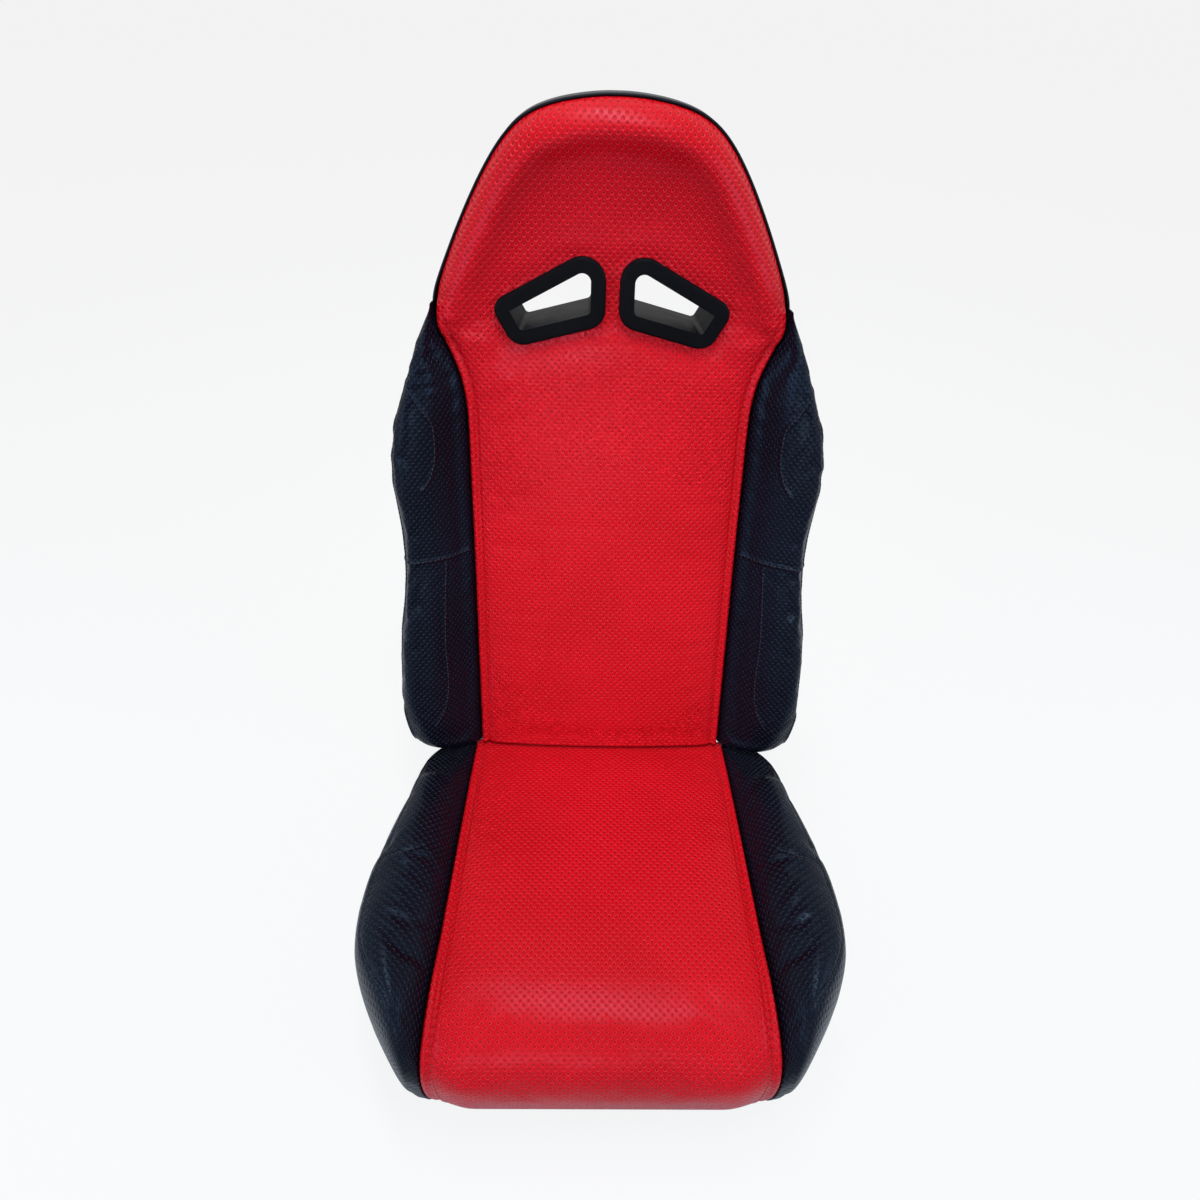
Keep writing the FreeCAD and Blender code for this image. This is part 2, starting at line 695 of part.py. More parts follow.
# Prism over a harness slot, its outline grown by an amount, between two depths
def slot_prism(side, grow, low, high):
    outline = rounded_outline(SLOT_CORNERS_LOCAL, SLOT_RADII)
    if grow != 0.0:
        outline = outline.makeOffset2D(grow)
    outline.translate(V(0, 0, low))
    prism = Part.Face(outline).extrude(V(0, 0, high - low))
    prism.Placement = on_back(SLOT_STATION)
    return prism if side > 0 else mirrored(prism)


def bezel_front(side):
    face = slot_prism(side, 0.0, BEZEL_SEAT + 0.3, BEZEL_FACE)
    rim = [e for e in face.Edges if e.Length > 1 and is_front_edge(e)]
    face = face.makeFillet(3.0, rim)
    sleeve = slot_prism(side, BEZEL_WALL - BEZEL_BAND, SLEEVE_JOINT, BEZEL_SEAT + 1)
    return face.fuse(sleeve).cut(slot_prism(side, -BEZEL_BAND, -100, 60))


def is_front_edge(edge):
    place = on_back(SLOT_STATION).inverse()
    middle = edge.valueAt((edge.FirstParameter + edge.LastParameter) / 2)
    return place.multVec(middle).z > BEZEL_FACE - 0.01


def bezel_rear(side):
    back = -BACK_DEPTH - REAR_FACE_GAP
    face = slot_prism(side, 0.0, back - REAR_FACE, back)
    sleeve = slot_prism(side, BEZEL_WALL - BEZEL_BAND, back - 1, SLEEVE_JOINT - 0.3)
    return face.fuse(sleeve).cut(slot_prism(side, -BEZEL_BAND, -120, 60))


# Pan-head screws through each rear bezel, near its four corners
def bezel_screws():
    screws = []
    back = -BACK_DEPTH - REAR_FACE_GAP - REAR_FACE
    middle_x = sum(x for x, y in SLOT_CORNERS_LOCAL) / 4
    middle_y = sum(y for x, y in SLOT_CORNERS_LOCAL) / 4
    for x, y in SLOT_CORNERS_LOCAL:
        seat = V(middle_x + (x - middle_x) * SCREW_SHARE, middle_y + (y - middle_y) * SCREW_SHARE,
                 back - SCREW_HEAD_HEIGHT)
        head = Part.makeCylinder(SCREW_HEAD_RADIUS, SCREW_HEAD_HEIGHT, seat)
        head.Placement = on_back(SLOT_STATION)
        screws.append(head)
        screws.append(mirrored(head))
    return compound(screws)


# Side path of the back frame: straight, curved with the spine, straight again
def upright_edges(x, top):
    out = -FRAME_DEPTH
    low = V(x, 0, 0) + back_point(0, -48.0, out)
    knee = back_point(x, SPINE_STRAIGHT, out)
    middle = back_point(x, (SPINE_STRAIGHT + FRAME_KNEE_TOP) / 2, out)
    end = back_point(x, FRAME_KNEE_TOP, out)
    angle = spine_angle(FRAME_KNEE_TOP)
    up = V(0, math.sin(angle), math.cos(angle))
    top_point = end + up * (top - FRAME_KNEE_TOP)
    return [line(low, knee), arc(knee, middle, end), line(end, top_point)], top_point, up


def back_loop_half(diameter, wall):
    r = BACK_FRAME_BEND
    edges, corner, up = upright_edges(FRAME_X, BACK_FRAME_TOP - BACK_FRAME_BEND)
    k = r * (1 - math.sqrt(0.5))
    middle = corner + up * (r - k) + V(-k, 0, 0)
    turned = corner + up * r + V(-r, 0, 0)
    across = V(0, turned.y, turned.z)
    edges.append(arc(corner, middle, turned))
    edges.append(line(turned, across))
    return swept(edges, diameter, wall)


def back_frame():
    half = back_loop_half(TUBE, TUBE_WALL)
    return half.fuse(mirrored(half)).removeSplitter()


def back_cross_tubes():
    tubes = []
    half = back_loop_half(TUBE, 0.0)
    envelope = half.fuse(mirrored(half))
    for station in BACK_CROSS_STATIONS:
        start = back_point(-FRAME_X, station, -FRAME_DEPTH)
        tube = Part.makeCylinder(CROSS_TUBE / 2, 2 * FRAME_X, start, V(1, 0, 0))
        bore = Part.makeCylinder(CROSS_TUBE / 2 - TUBE_WALL, 2 * FRAME_X, start, V(1, 0, 0))
        tubes.append(tube.cut(bore).cut(envelope).Solids[0])
    return compound(tubes)


# Elastic straps looped round the uprights, in front of the frame and behind the foam
def back_straps():
    straps = []
    outer = TUBE / 2 + STRAP_SHEET
    for station in STRAP_STATIONS:
        ring = Part.makeCylinder(outer, STRAP_WIDTH, V(0, -STRAP_WIDTH / 2, 0), V(0, 1, 0))
        left = ring.copy()
        left.translate(V(-FRAME_X, 0, 0))
        right = ring.copy()
        right.translate(V(FRAME_X, 0, 0))
        band = box(-FRAME_X, FRAME_X, -STRAP_WIDTH / 2, STRAP_WIDTH / 2, outer - STRAP_SHEET, outer)
        strap = left.fuse(right).fuse(band)
        for x in (-FRAME_X, FRAME_X):
            strap = strap.cut(Part.makeCylinder(TUBE / 2 + 0.15, 3 * STRAP_WIDTH,
                                                V(x, -1.5 * STRAP_WIDTH, 0), V(0, 1, 0)))
        strap = strap.removeSplitter()
        place = on_back(station)
        place.Base = back_point(0, station, -FRAME_DEPTH)
        strap.Placement = place
        straps.append(strap)
    return compound(straps)


# Side brackets bolt the back uprights to the base frame
def bracket_bolt_points():
    return [V(0, FRAME_REAR_Y - 74, FRAME_Z), V(0, FRAME_REAR_Y - 50, FRAME_Z),
            back_point(0, -28.0, -FRAME_DEPTH), back_point(0, 18.0, -FRAME_DEPTH)]


def bracket_outline():
    front, rear, lower, upper = bracket_bolt_points()
    edge = TUBE / 2 + 1
    points = [V(0, front.y - 9, front.z - edge), V(0, rear.y + 12, rear.z - edge),
              back_point(0, -44.0, -FRAME_DEPTH - edge), back_point(0, 32.0, -FRAME_DEPTH - edge),
              back_point(0, 32.0, -FRAME_DEPTH + edge), back_point(0, -6.0, -FRAME_DEPTH + edge),
              V(0, BASE_REAR_Y + 5, rear.z + edge), V(0, front.y - 9, front.z + edge)]
    return [(point.y, point.z) for point in points]


def side_bracket(side):
    outline = rounded_outline(bracket_outline(), (6, 20, 12, 8, 8, 20, 16, 6))
    plate = Part.Face(outline).extrude(V(0, 0, BRACKET_SHEET))
    plate.Placement = FreeCAD.Placement(V(FRAME_X + TUBE / 2 + BRACKET_GAP, 0, 0),
                                        FreeCAD.Rotation(V(0, 1, 0), V(0, 0, 1), V(1, 0, 0), "XYZ"))
    for point in bracket_bolt_points():
        hole = Part.makeCylinder(BOLT / 2 + BOLT_CLEARANCE, 40, V(FRAME_X, point.y, point.z), V(1, 0, 0))
        plate = plate.cut(hole)
    return plate if side > 0 else mirrored(plate)


def bracket_bolts():
    bolts = []
    face = FRAME_X + TUBE / 2 + BRACKET_GAP + BRACKET_SHEET
    length = TUBE + BRACKET_SHEET + BRACKET_GAP + NUT_HEIGHT + 2
    for point in bracket_bolt_points():
        bolt = hex_bolt(length)
        bolt.rotate(V(0, 0, 0), V(0, 1, 0), 90)
        bolt.translate(V(face, point.y, point.z))
        bolts.append(bolt)
        bolts.append(mirrored(bolt))
    return compound(bolts)


def bracket_nuts():
    nuts = []
    face = FRAME_X - TUBE / 2 - 0.1
    for point in bracket_bolt_points():
        nut = hex_nut()
        nut.rotate(V(0, 0, 0), V(0, 1, 0), -90)
        nut.translate(V(face, point.y, point.z))
        nuts.append(nut)
        nuts.append(mirrored(nut))
    return compound(nuts)


def bolt_bores(points):
    bores = []
    for point in points:
        start = V(-2 * FRAME_X, point.y, point.z)
        bores.append(Part.makeCylinder(BOLT / 2 + BOLT_CLEARANCE, 4 * FRAME_X, start, V(1, 0, 0)))
    return compound(bores)


# Release bar: a bent bar across the front with an arm and an eye beside each rail
def release_bar():
    r = BAR_BEND
    k = r * (1 - math.sqrt(0.5))
    z = PIVOT_Z
    x = BAR_ARM_X
    y = BAR_FRONT_Y
    edges = [line(V(0, y, z), V(x - r, y, z)),
             arc(V(x - r, y, z), V(x - k, y + k, z), V(x, y + r, z)),
             line(V(x, y + r, z), V(x, PIVOT_Y, z))]
    half = swept(edges, BAR_DIAMETER)
    eye = Part.makeCylinder(EYE_DIAMETER / 2, EYE_WIDTH, V(x - EYE_WIDTH / 2, PIVOT_Y, z), V(1, 0, 0))
    half = half.fuse(eye)
    bore = Part.makeCylinder(PIVOT_PIN_DIAMETER / 2 + 0.05, 60, V(x - 30, PIVOT_Y, z), V(1, 0, 0))
    half = half.cut(bore)
    return half.fuse(mirrored(half)).removeSplitter()


def release_grip():
    start = V(-GRIP_LENGTH / 2, BAR_FRONT_Y, PIVOT_Z)
    sleeve = Part.makeCylinder(GRIP_DIAMETER / 2, GRIP_LENGTH, start, V(1, 0, 0))
    sleeve = sleeve.makeFillet(2.0, [e for e in sleeve.Edges if e.Closed])
    return sleeve.cut(Part.makeCylinder(BAR_DIAMETER / 2 + 0.1, GRIP_LENGTH, start, V(1, 0, 0)))


# Toothed latch plate on each arm, its teeth over the lower rail's notches
def latch_plate(side):
    lip_inner = RAIL_X - LIP_OPENING / 2
    outer = lip_inner - LATCH_SIDE_GAP
    bottom = RAIL_HEIGHT + LATCH_GAP + TOOTH_DROP
    reach = (TOOTH_COUNT - 1) * NOTCH_PITCH / 2 + NOTCH_WIDTH
    plate = box(BAR_ARM_X - 2, outer, LATCH_Y - reach, LATCH_Y + reach, bottom, bottom + LATCH_SHEET)
    for i in range(TOOTH_COUNT):
        y = LATCH_Y + (i - TOOTH_COUNT // 2) * NOTCH_PITCH
        plate = plate.fuse(box(outer - NOTCH_DEPTH + 1.5, outer, y - TOOTH_WIDTH / 2, y + TOOTH_WIDTH / 2,
                               bottom - TOOTH_DROP, bottom + 0.5))
    arm = Part.makeCylinder(BAR_DIAMETER / 2, 200, V(BAR_ARM_X, LATCH_Y - 100, PIVOT_Z), V(0, 1, 0))
    plate = plate.cut(arm).removeSplitter()
    plate = max(plate.Solids, key=lambda s: s.Volume)
    return plate if side > 0 else mirrored(plate)


def release_pivots():
    pins = []
    inner = BAR_ARM_X - BAR_DIAMETER / 2 - 3
    outer = RAIL_X - UPPER_WIDTH / 2 + SHEET
    pin = Part.makeCylinder(PIVOT_PIN_DIAMETER / 2, outer - inner, V(inner, PIVOT_Y, PIVOT_Z), V(1, 0, 0))
    head = Part.makeCylinder(PIVOT_PIN_DIAMETER / 2 + 2, 2, V(inner - 1.6, PIVOT_Y, PIVOT_Z), V(1, 0, 0))
    pin = pin.fuse(head)
    pins.append(pin)
    pins.append(mirrored(pin))
    return compound(pins)


# Torsion springs of fine wire on the pivot pins, between each arm's eye and its rail
def return_springs():
    inner = BAR_ARM_X + BAR_DIAMETER / 2 + SPRING_SIDE_GAP + SPRING_WIRE / 2
    pitch = SPRING_WIRE + 0.5
    radius = PIVOT_PIN_DIAMETER / 2 + SPRING_PIN_GAP + SPRING_WIRE / 2
    helix = Part.makeHelix(pitch, pitch * SPRING_TURNS, radius)
    corners = []
    for i in range(8):
        angle = math.radians(45 * i)
        corners.append(V(radius + SPRING_WIRE / 2 * math.cos(angle), 0, SPRING_WIRE / 2 * math.sin(angle)))
    ring = Part.makePolygon(corners + [corners[0]])
    coil = Part.Wire(helix.Edges).makePipeShell([ring], True, False)
    coil.rotate(V(0, 0, 0), V(0, 1, 0), 90)
    coil.translate(V(inner, PIVOT_Y, PIVOT_Z))
    return compound([coil, mirrored(coil)])


# Push rivets that hold the rear cover to its backing board
def rivet_places():
    places = []
    for station in RIVET_STATIONS:
        for side in (-1, 1):
            places.append((side * RIVET_X, on_back(station)))
    return places


def cover_rivets():
    rivets = []
    for x, place in rivet_places():
        rivet = Part.makeCylinder(RIVET_HEAD / 2, 2.0, V(x, 0, -BACK_DEPTH - 2.2))
        rivet = rivet.fuse(Part.makeCylinder(RIVET_SHANK / 2, 6.0, V(x, 0, -BACK_DEPTH - 0.3)))
        rivet.Placement = place
        rivets.append(rivet)
    return compound(rivets)


def build():
    rail = lower_rail()
    upper = upper_rail()
    shoes = glide_shoes()
    for name, shape in (("lower_rail", rail), ("upper_rail", upper), ("glide_shoes", shoes)):
        left = mirrored(shape)
        right = shape
        right.translate(V(RAIL_X, 0, 0))
        left.translate(V(-RAIL_X, 0, 0))
        export(name + "_left", left)
        export(name + "_right", right)
    bores = bolt_bores(bracket_bolt_points())
    export("frame_saddles", frame_saddles())
    export("saddle_bolts", saddle_bolts())
    export("saddle_nuts", saddle_nuts())
    export("base_frame", base_frame().cut(bores))
    export("base_cross_tubes", base_cross_tubes())
    export("seat_springs", seat_springs())
    export("spring_clips", spring_clips())
    export("spring_felt", spring_felt())
    export("base_center_pad", base_center_pad())
    bolster = base_bolster()
    export("base_bolster_right", bolster)
    export("base_bolster_left", mirrored(bolster))
    export("back_frame", back_frame().cut(bores))
    export("back_cross_tubes", back_cross_tubes())
    export("back_straps", back_straps())
    export("side_bracket_left", side_bracket(-1))
    export("side_bracket_right", side_bracket(1))
    export("bracket_bolts", bracket_bolts())
    export("bracket_nuts", bracket_nuts())
    export("back_center_pad", back_center_pad())
    wing = back_bolster()
    export("back_bolster_right", wing)
    export("back_bolster_left", mirrored(wing))
    export("rear_cover", rear_cover())
    for side, word in ((-1, "left"), (1, "right")):
        export("harness_bezel_front_" + word, bezel_front(side))
        export("harness_bezel_rear_" + word, bezel_rear(side))
        export("latch_plate_" + word, latch_plate(side))
    export("bezel_screws", bezel_screws())
    export("cover_rivets", cover_rivets())
    export("release_bar", release_bar())
    export("release_grip", release_grip())
    export("release_pivots", release_pivots())
    export("return_springs", return_springs())


build()
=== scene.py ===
import math
import random

import bpy
import bmesh
import numpy as np
from mathutils import Matrix, Vector
from mathutils.bvhtree import BVHTree
from mathutils.kdtree import KDTree


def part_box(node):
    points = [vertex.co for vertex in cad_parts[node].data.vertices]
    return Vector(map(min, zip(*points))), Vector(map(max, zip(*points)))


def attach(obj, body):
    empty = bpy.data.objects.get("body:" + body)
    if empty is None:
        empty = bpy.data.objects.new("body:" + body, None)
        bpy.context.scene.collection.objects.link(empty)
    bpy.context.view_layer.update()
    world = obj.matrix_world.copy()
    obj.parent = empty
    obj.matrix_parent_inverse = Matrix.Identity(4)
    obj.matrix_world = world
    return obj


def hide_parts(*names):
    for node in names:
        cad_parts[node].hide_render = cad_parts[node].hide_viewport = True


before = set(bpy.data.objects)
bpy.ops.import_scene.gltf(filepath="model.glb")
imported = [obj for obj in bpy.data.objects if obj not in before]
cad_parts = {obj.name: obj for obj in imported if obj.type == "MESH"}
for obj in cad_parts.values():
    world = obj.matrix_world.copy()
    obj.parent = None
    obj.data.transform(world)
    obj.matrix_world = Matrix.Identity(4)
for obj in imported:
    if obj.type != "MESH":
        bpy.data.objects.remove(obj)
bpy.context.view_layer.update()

MM = 0.001

# The sizes of the solid model, in millimetres
CREASE_Y = 128.0
CREASE_Z = 140.0
BASE_TILT = math.radians(7.0)
RECLINE_LOW = math.radians(20.0)
SPINE_STRAIGHT = 289.0
SPINE_CURVED = 385.0
SPINE_RADIUS = SPINE_CURVED / math.radians(15.0)
BASE_TOP_LENGTH = 318.0
BASE_FRONT_Y = -268.0
BASE_REAR_Y = 140.0
BASE_UNDERSIDE = 56.0
FOAM_BOTTOM = 79.3
BASE_PANEL_HALF = 163.0
BASE_HALF_WIDTH = 230.0
BACK_FOAM = 45.0
BACK_DEPTH = 80.0
COVER_SHEET = 2.5
SLOT_CORNERS = [(101, 490), (7, 514), (7, 595), (125, 533)]
SLOT_RADII = (20, 20, 24, 14)
SLOT_STATION = 540.0
BEZEL_BAND = 15.0
BEZEL_WALL = 2.5
FRAME_X = 140.0
TUBE = 22.0
FRAME_DEPTH = 59.0
STRAP_STATIONS = (180.0, 270.0, 360.0)
STRAP_WIDTH = 40.0
STRAP_SHEET = 2.0
# The slots are cut this far outside the bezel's outline; it is negative, so the cut lies under its band
SLOT_GROW = BEZEL_WALL + 0.4 - BEZEL_BAND + 1.5

# Half width of the back's outline, of its red panel, and the bolsters' height, by station
OUTLINE = [(2, 231.5), (12, 238), (23, 242), (40, 245.5), (62, 248.5), (85, 250.5), (129, 249.5),
           (170, 246.5), (212, 239.5), (251, 236.5), (290, 237.5), (327, 241.5), (345, 242.5), (382, 240.5),
           (417, 234), (443, 225.5), (468, 216), (496, 204), (511, 194.5), (523, 188), (538, 182)]
PANEL = [(0, 152), (250, 153), (345, 154), (400, 154), (425, 154.5), (448, 157), (468, 162), (485, 169.5),
         (500, 177), (515, 182), (527, 183), (538, 182.5)]
RISE = [(2, 26), (20, 36), (50, 44), (110, 47), (180, 45), (250, 43), (300, 46), (345, 50), (400, 49),
        (440, 44), (470, 36), (490, 27), (510, 17), (530, 9)]
# Radius of the head by angle, in degrees up from its side
HEAD = [(0, 185), (8, 178), (17, 172.5), (27, 170.5), (36, 172), (45, 176.5), (53, 182.5), (59, 187),
        (64, 188.5), (70, 187), (80, 184.5), (90, 184)]
# The black rear cover stands out round the red head by this much
HEAD_WELT = 2.6
HEAD_BASE = 530.0


def smooth(t):
    t = np.clip(t, 0.0, 1.0)
    return t * t * (3 - 2 * t)


# A smooth table: straight between its points, then rounded over a width
def table(points, width=14.0):
    xs, ys = np.array(points, float).T
    grid = np.linspace(xs[0] - 4 * width, xs[-1] + 4 * width, 900)
    raw = np.interp(grid, xs, ys)
    low = grid < xs[0]
    raw[low] = ys[0] + (ys[1] - ys[0]) / (xs[1] - xs[0]) * (grid[low] - xs[0])
    high = grid > xs[-1]
    raw[high] = ys[-1] + (ys[-1] - ys[-2]) / (xs[-1] - xs[-2]) * (grid[high] - xs[-1])
    step = grid[1] - grid[0]
    reach = int(3 * width / step) + 1
    kernel = np.exp(-0.5 * (np.arange(-reach, reach + 1) * step / width) ** 2)
    kernel /= kernel.sum()
    rounded = np.convolve(np.pad(raw, reach, mode="edge"), kernel, mode="valid")
    return lambda v: np.interp(v, grid, rounded)


outline_half = table(OUTLINE, 8)
panel_half = table(PANEL, 8)
bolster_rise = table(RISE, 10)
head_radius = table([(-a, r) for a, r in HEAD[:0:-1]] + HEAD, 4)


# Catmull-Rom curve through points, sampled evenly along its length
def curve_through(points, count):
    p = np.array(points, float)
    p = np.vstack([2 * p[0] - p[1], p, 2 * p[-1] - p[-2]])
    out = []
    for i in range(1, len(p) - 2):
        t = np.linspace(0, 1, 40, endpoint=False)[:, None]
        a, b, c, d = p[i - 1:i + 3]
        square = 2 * a - 5 * b + 4 * c - d
        cube = 3 * b - a - 3 * c + d
        out.append(0.5 * (2 * b + (c - a) * t + square * t ** 2 + cube * t ** 3))
    return even(np.vstack(out + [p[-2:-1]]), count)


# Length along a line of points, at each of them
def lengths(points):
    return np.concatenate([[0], np.cumsum(np.linalg.norm(np.diff(points, axis=0), axis=1))])


def point_at(at, along, points):
    return np.stack([np.interp(at, along, column) for column in points.T], -1)


def even(dense, count):
    along = lengths(dense)
    return point_at(np.linspace(0, along[-1], count), along, dense)


# Place and slope of the back's front face at a station, up from the crease
def spine(station):
    s = np.asarray(station, float)
    bend = np.clip(s - SPINE_STRAIGHT, 0, SPINE_CURVED)
    angle = RECLINE_LOW - bend / SPINE_RADIUS
    run = np.minimum(s, SPINE_STRAIGHT)
    beyond = np.maximum(s - SPINE_STRAIGHT - SPINE_CURVED, 0)
    low_sin = math.sin(RECLINE_LOW)
    low_cos = math.cos(RECLINE_LOW)
    y = run * low_sin + SPINE_RADIUS * (np.cos(angle) - low_cos) + beyond * np.sin(angle)
    z = run * low_cos + SPINE_RADIUS * (low_sin - np.sin(angle)) + beyond * np.cos(angle)
    return CREASE_Y + y, CREASE_Z + z, angle


# A point across, up the back and out of its front face, in metres
def on_back(x, station, out):
    y, z, angle = spine(station)
    x, y, z = np.broadcast_arrays(x, y - out * np.cos(angle), z + out * np.sin(angle))
    return np.stack([x, y, z], -1) * MM


def base_top(y):
    return CREASE_Z + (CREASE_Y - y) * math.tan(BASE_TILT)


# New mesh object with the cover's own coordinates, in metres, as its UV map
def mesh_object(name, verts, faces, uv=None):
    me = bpy.data.meshes.new(name)
    me.from_pydata([tuple(v) for v in verts], [], [tuple(f) for f in faces])
    me.validate()
    if uv is not None:
        layer = me.uv_layers.new(name="cover")
        loops = np.zeros(len(me.loops), dtype=np.int32)
        me.loops.foreach_get("vertex_index", loops)
        layer.uv.foreach_set("vector", np.asarray(uv, np.float32)[loops].ravel())
    me.polygons.foreach_set("use_smooth", [True] * len(me.polygons))
    me.update()
    ob = bpy.data.objects.new(name, me)
    bpy.context.scene.collection.objects.link(ob)
    return ob


def face_outwards(ob):
    bm = bmesh.new()
    bm.from_mesh(ob.data)
    bmesh.ops.recalc_face_normals(bm, faces=bm.faces)
    bm.to_mesh(ob.data)
    bm.free()


def points_of(ob):
    co = np.zeros(len(ob.data.vertices) * 3)
    ob.data.vertices.foreach_get("co", co)
    return co.reshape(-1, 3)


def set_points(ob, co):
    ob.data.vertices.foreach_set("co", np.asarray(co, float).ravel())
    ob.data.update()


def normals_of(ob):
    no = np.zeros(len(ob.data.vertices) * 3)
    ob.data.vertices.foreach_get("normal", no)
    return no.reshape(-1, 3)


# Quads between the rows of a grid of vertex numbers
def quads(grid, wrap=False):
    rows, cols = grid.shape
    faces = []
    for i in range(rows - 1):
        for j in range(cols if wrap else cols - 1):
            k = (j + 1) % cols
            faces.append((grid[i, j], grid[i, k], grid[i + 1, k], grid[i + 1, j]))
    return faces


# Rings that close each end of a ring pad, one for each of its steps
END_RINGS = 4


# Pad made of rings; each end closes with rings that shrink to the ring's middle
def ring_pad(name, rings, uv, bulge=0.0, steps=(0.93, 0.78, 0.5, 0.2)):
    rings = list(rings)
    uv = list(uv)
    for end, nearby, swell in ((0, 1, 0.0), (-1, -2, bulge)):
        first = rings[end]
        middle = first.mean(0)
        away = middle - rings[nearby].mean(0)
        away = away / max(np.linalg.norm(away), 1e-9)
        caps = []
        for share in steps:
            caps.append(middle + (first - middle) * share + away * swell * math.sqrt(1 - share ** 2))
        cap_uv = [uv[end]] * len(steps)
        if end == 0:
            rings = caps[::-1] + rings
            uv = cap_uv + uv
        else:
            rings = rings + caps
            uv = uv + cap_uv
    count = len(rings[0])
    verts = np.concatenate(rings)
    grid = np.arange(len(verts)).reshape(-1, count)
    faces = quads(grid, wrap=True)
    faces.append(tuple(grid[0][::-1]))
    faces.append(tuple(grid[-1]))
    ob = mesh_object(name, verts, faces, np.concatenate(uv))
    face_outwards(ob)
    return ob


# The vertices of a ring pad's own rings, without those that close its ends
def own_rings(rings):
    loops = len(rings[0])
    return slice(END_RINGS * loops, (END_RINGS + len(rings)) * loops)


# The border of a grid, once round
def border_of(grid):
    return np.concatenate([grid[0, :], grid[1:, -1], grid[-1, -2::-1], grid[-2:0:-1, 0]])


# Pad from a front grid, side rings behind its border, and a back grid; open behind if that is None
def patch_pad(name, front, front_uv, sides, side_uv, back):
    rows, cols = front.shape[:2]
    number = np.arange(rows * cols).reshape(rows, cols)
    border = border_of(number)
    verts = [front.reshape(-1, 3)]
    uvs = [front_uv.reshape(-1, 2)]
    faces = quads(number)
    start = rows * cols
    last = border
    for ring, tex in zip(sides, side_uv):
        new = np.arange(start, start + len(border))
        verts.append(ring)
        uvs.append(tex)
        faces += quads(np.stack([last, new]), wrap=True)
        start += len(border)
        last = new
    if back is not None:
        inner = np.arange(start, start + rows * cols).reshape(rows, cols)
        verts.append(back.reshape(-1, 3))
        uvs.append(front_uv.reshape(-1, 2))
        faces += quads(inner)
        faces += quads(np.stack([last, border_of(inner)]), wrap=True)
    ob = mesh_object(name, np.concatenate(verts), faces, np.concatenate(uvs))
    face_outwards(ob)
    return ob


# Cloth simulation, and how far it may move each kind of pad
CLOTH_FRAMES = 20
BACK_CAP = 3.0 * MM
BASE_CAP = 3.5 * MM
BOLSTER_CAP = 4.5 * MM
CLOTH = {"quality": 6, "mass": 0.35, "tension_stiffness": 15.0, "compression_stiffness": 15.0,
         "shear_stiffness": 7.5, "bending_stiffness": 0.4, "air_damping": 2.0, "use_pressure": True}


def inflate(ob, part, free, cap, pressure, slack):
    scene = bpy.context.scene
    start = points_of(ob)
    held = np.ones(len(start))
    held[part] = 1 - free
    group = ob.vertex_groups.new(name="held")
    for i, weight in enumerate(held):
        if weight > 0:
            group.add([i], float(weight), "REPLACE")
    mod = ob.modifiers.new("Cloth", "CLOTH")
    cloth = mod.settings
    for key, value in CLOTH.items():
        setattr(cloth, key, value)
    cloth.uniform_pressure_force = pressure
    cloth.effector_weights.gravity = 0
    cloth.vertex_group_mass = "held"
    cloth.shrink_min = -slack
    mod.collision_settings.use_collision = False
    mod.point_cache.frame_start = 1
    mod.point_cache.frame_end = CLOTH_FRAMES
    for number in range(1, CLOTH_FRAMES + 1):
        scene.frame_set(number)
    view = bpy.context.evaluated_depsgraph_get()
    me = bpy.data.meshes.new_from_object(ob.evaluated_get(view))
    moved = np.zeros(len(me.vertices) * 3)
    me.vertices.foreach_get("co", moved)
    bpy.data.meshes.remove(me)
    shift = moved.reshape(-1, 3) - start
    length = np.linalg.norm(shift, axis=1)
    ease = cap * np.tanh(length / cap) / np.maximum(length, 1e-9)
    ob.modifiers.remove(mod)
    ob.vertex_groups.clear()
    set_points(ob, start + shift * ease[:, None])
    scene.frame_set(1)


# A pad's points, with one part moved out along the normals by an amount in millimetres
def pushed_out(ob, part, amount):
    co = points_of(ob)
    co[part] += normals_of(ob)[part] * amount[:, None] * MM
    return co


def subdivide(ob, levels):
    mod = ob.modifiers.new("Subdivision", "SUBSURF")
    mod.levels = levels
    mod.render_levels = levels
    mod.uv_smooth = "NONE"
    mod.boundary_smooth = "PRESERVE_CORNERS"
    apply_modifiers(ob)


def apply_modifiers(ob):
    view = bpy.context.evaluated_depsgraph_get()
    me = bpy.data.meshes.new_from_object(ob.evaluated_get(view))
    old = ob.data
    ob.modifiers.clear()
    ob.data = me
    bpy.data.meshes.remove(old)
    me.name = ob.name


# A wrinkle: a short wave across a direction, fading out round its middle at px, ps
def wrinkle(x, s, px, ps, heading, length, wave, width, height):
    a = math.radians(heading)
    along = (x - px) * math.cos(a) + (s - ps) * math.sin(a)
    across = -(x - px) * math.sin(a) + (s - ps) * math.cos(a)
    fade = np.exp(-(along / length) ** 2 - (across / width) ** 2)
    return height * fade * np.cos(2 * math.pi * across / wave)


def edge_profile(distance, points):
    return np.interp(distance, *np.array(points, float).T)


# Height over distance in from a red panel's seam: folded edge, ridge, stitched groove, crown
SEAM_EDGE = [(0, -8.5), (0.6, -4.2), (1.4, -1.6), (2.6, 0.0), (4.2, 0.5), (6.0, -0.6), (8.0, -3.2),
             (9.5, -4.6), (11.5, -2.4), (15, -0.6), (22, 0), (34, 0)]
# The same for the head's raised rim and its dish
RIM_EDGE = [(0, -17), (1.5, -12), (4, -6), (8, 0), (13, 5.5), (18, 9.2), (23, 10.4), (28, 9.6), (33, 6.6),
            (38, 2.4), (45, -1.6), (58, -4.4), (80, -6), (105, -7), (200, -7)]
# Columns of a panel: their distances in from its seam, then their step
SEAM_SPACING = (0, 0.6, 1.4, 2.6, 4.2, 6.0, 8.0, 9.5, 11.5, 15)
COLUMN_STEP = 6.5
# How far the seams lie below the back's face
SEAM_DEPTH = 8.5


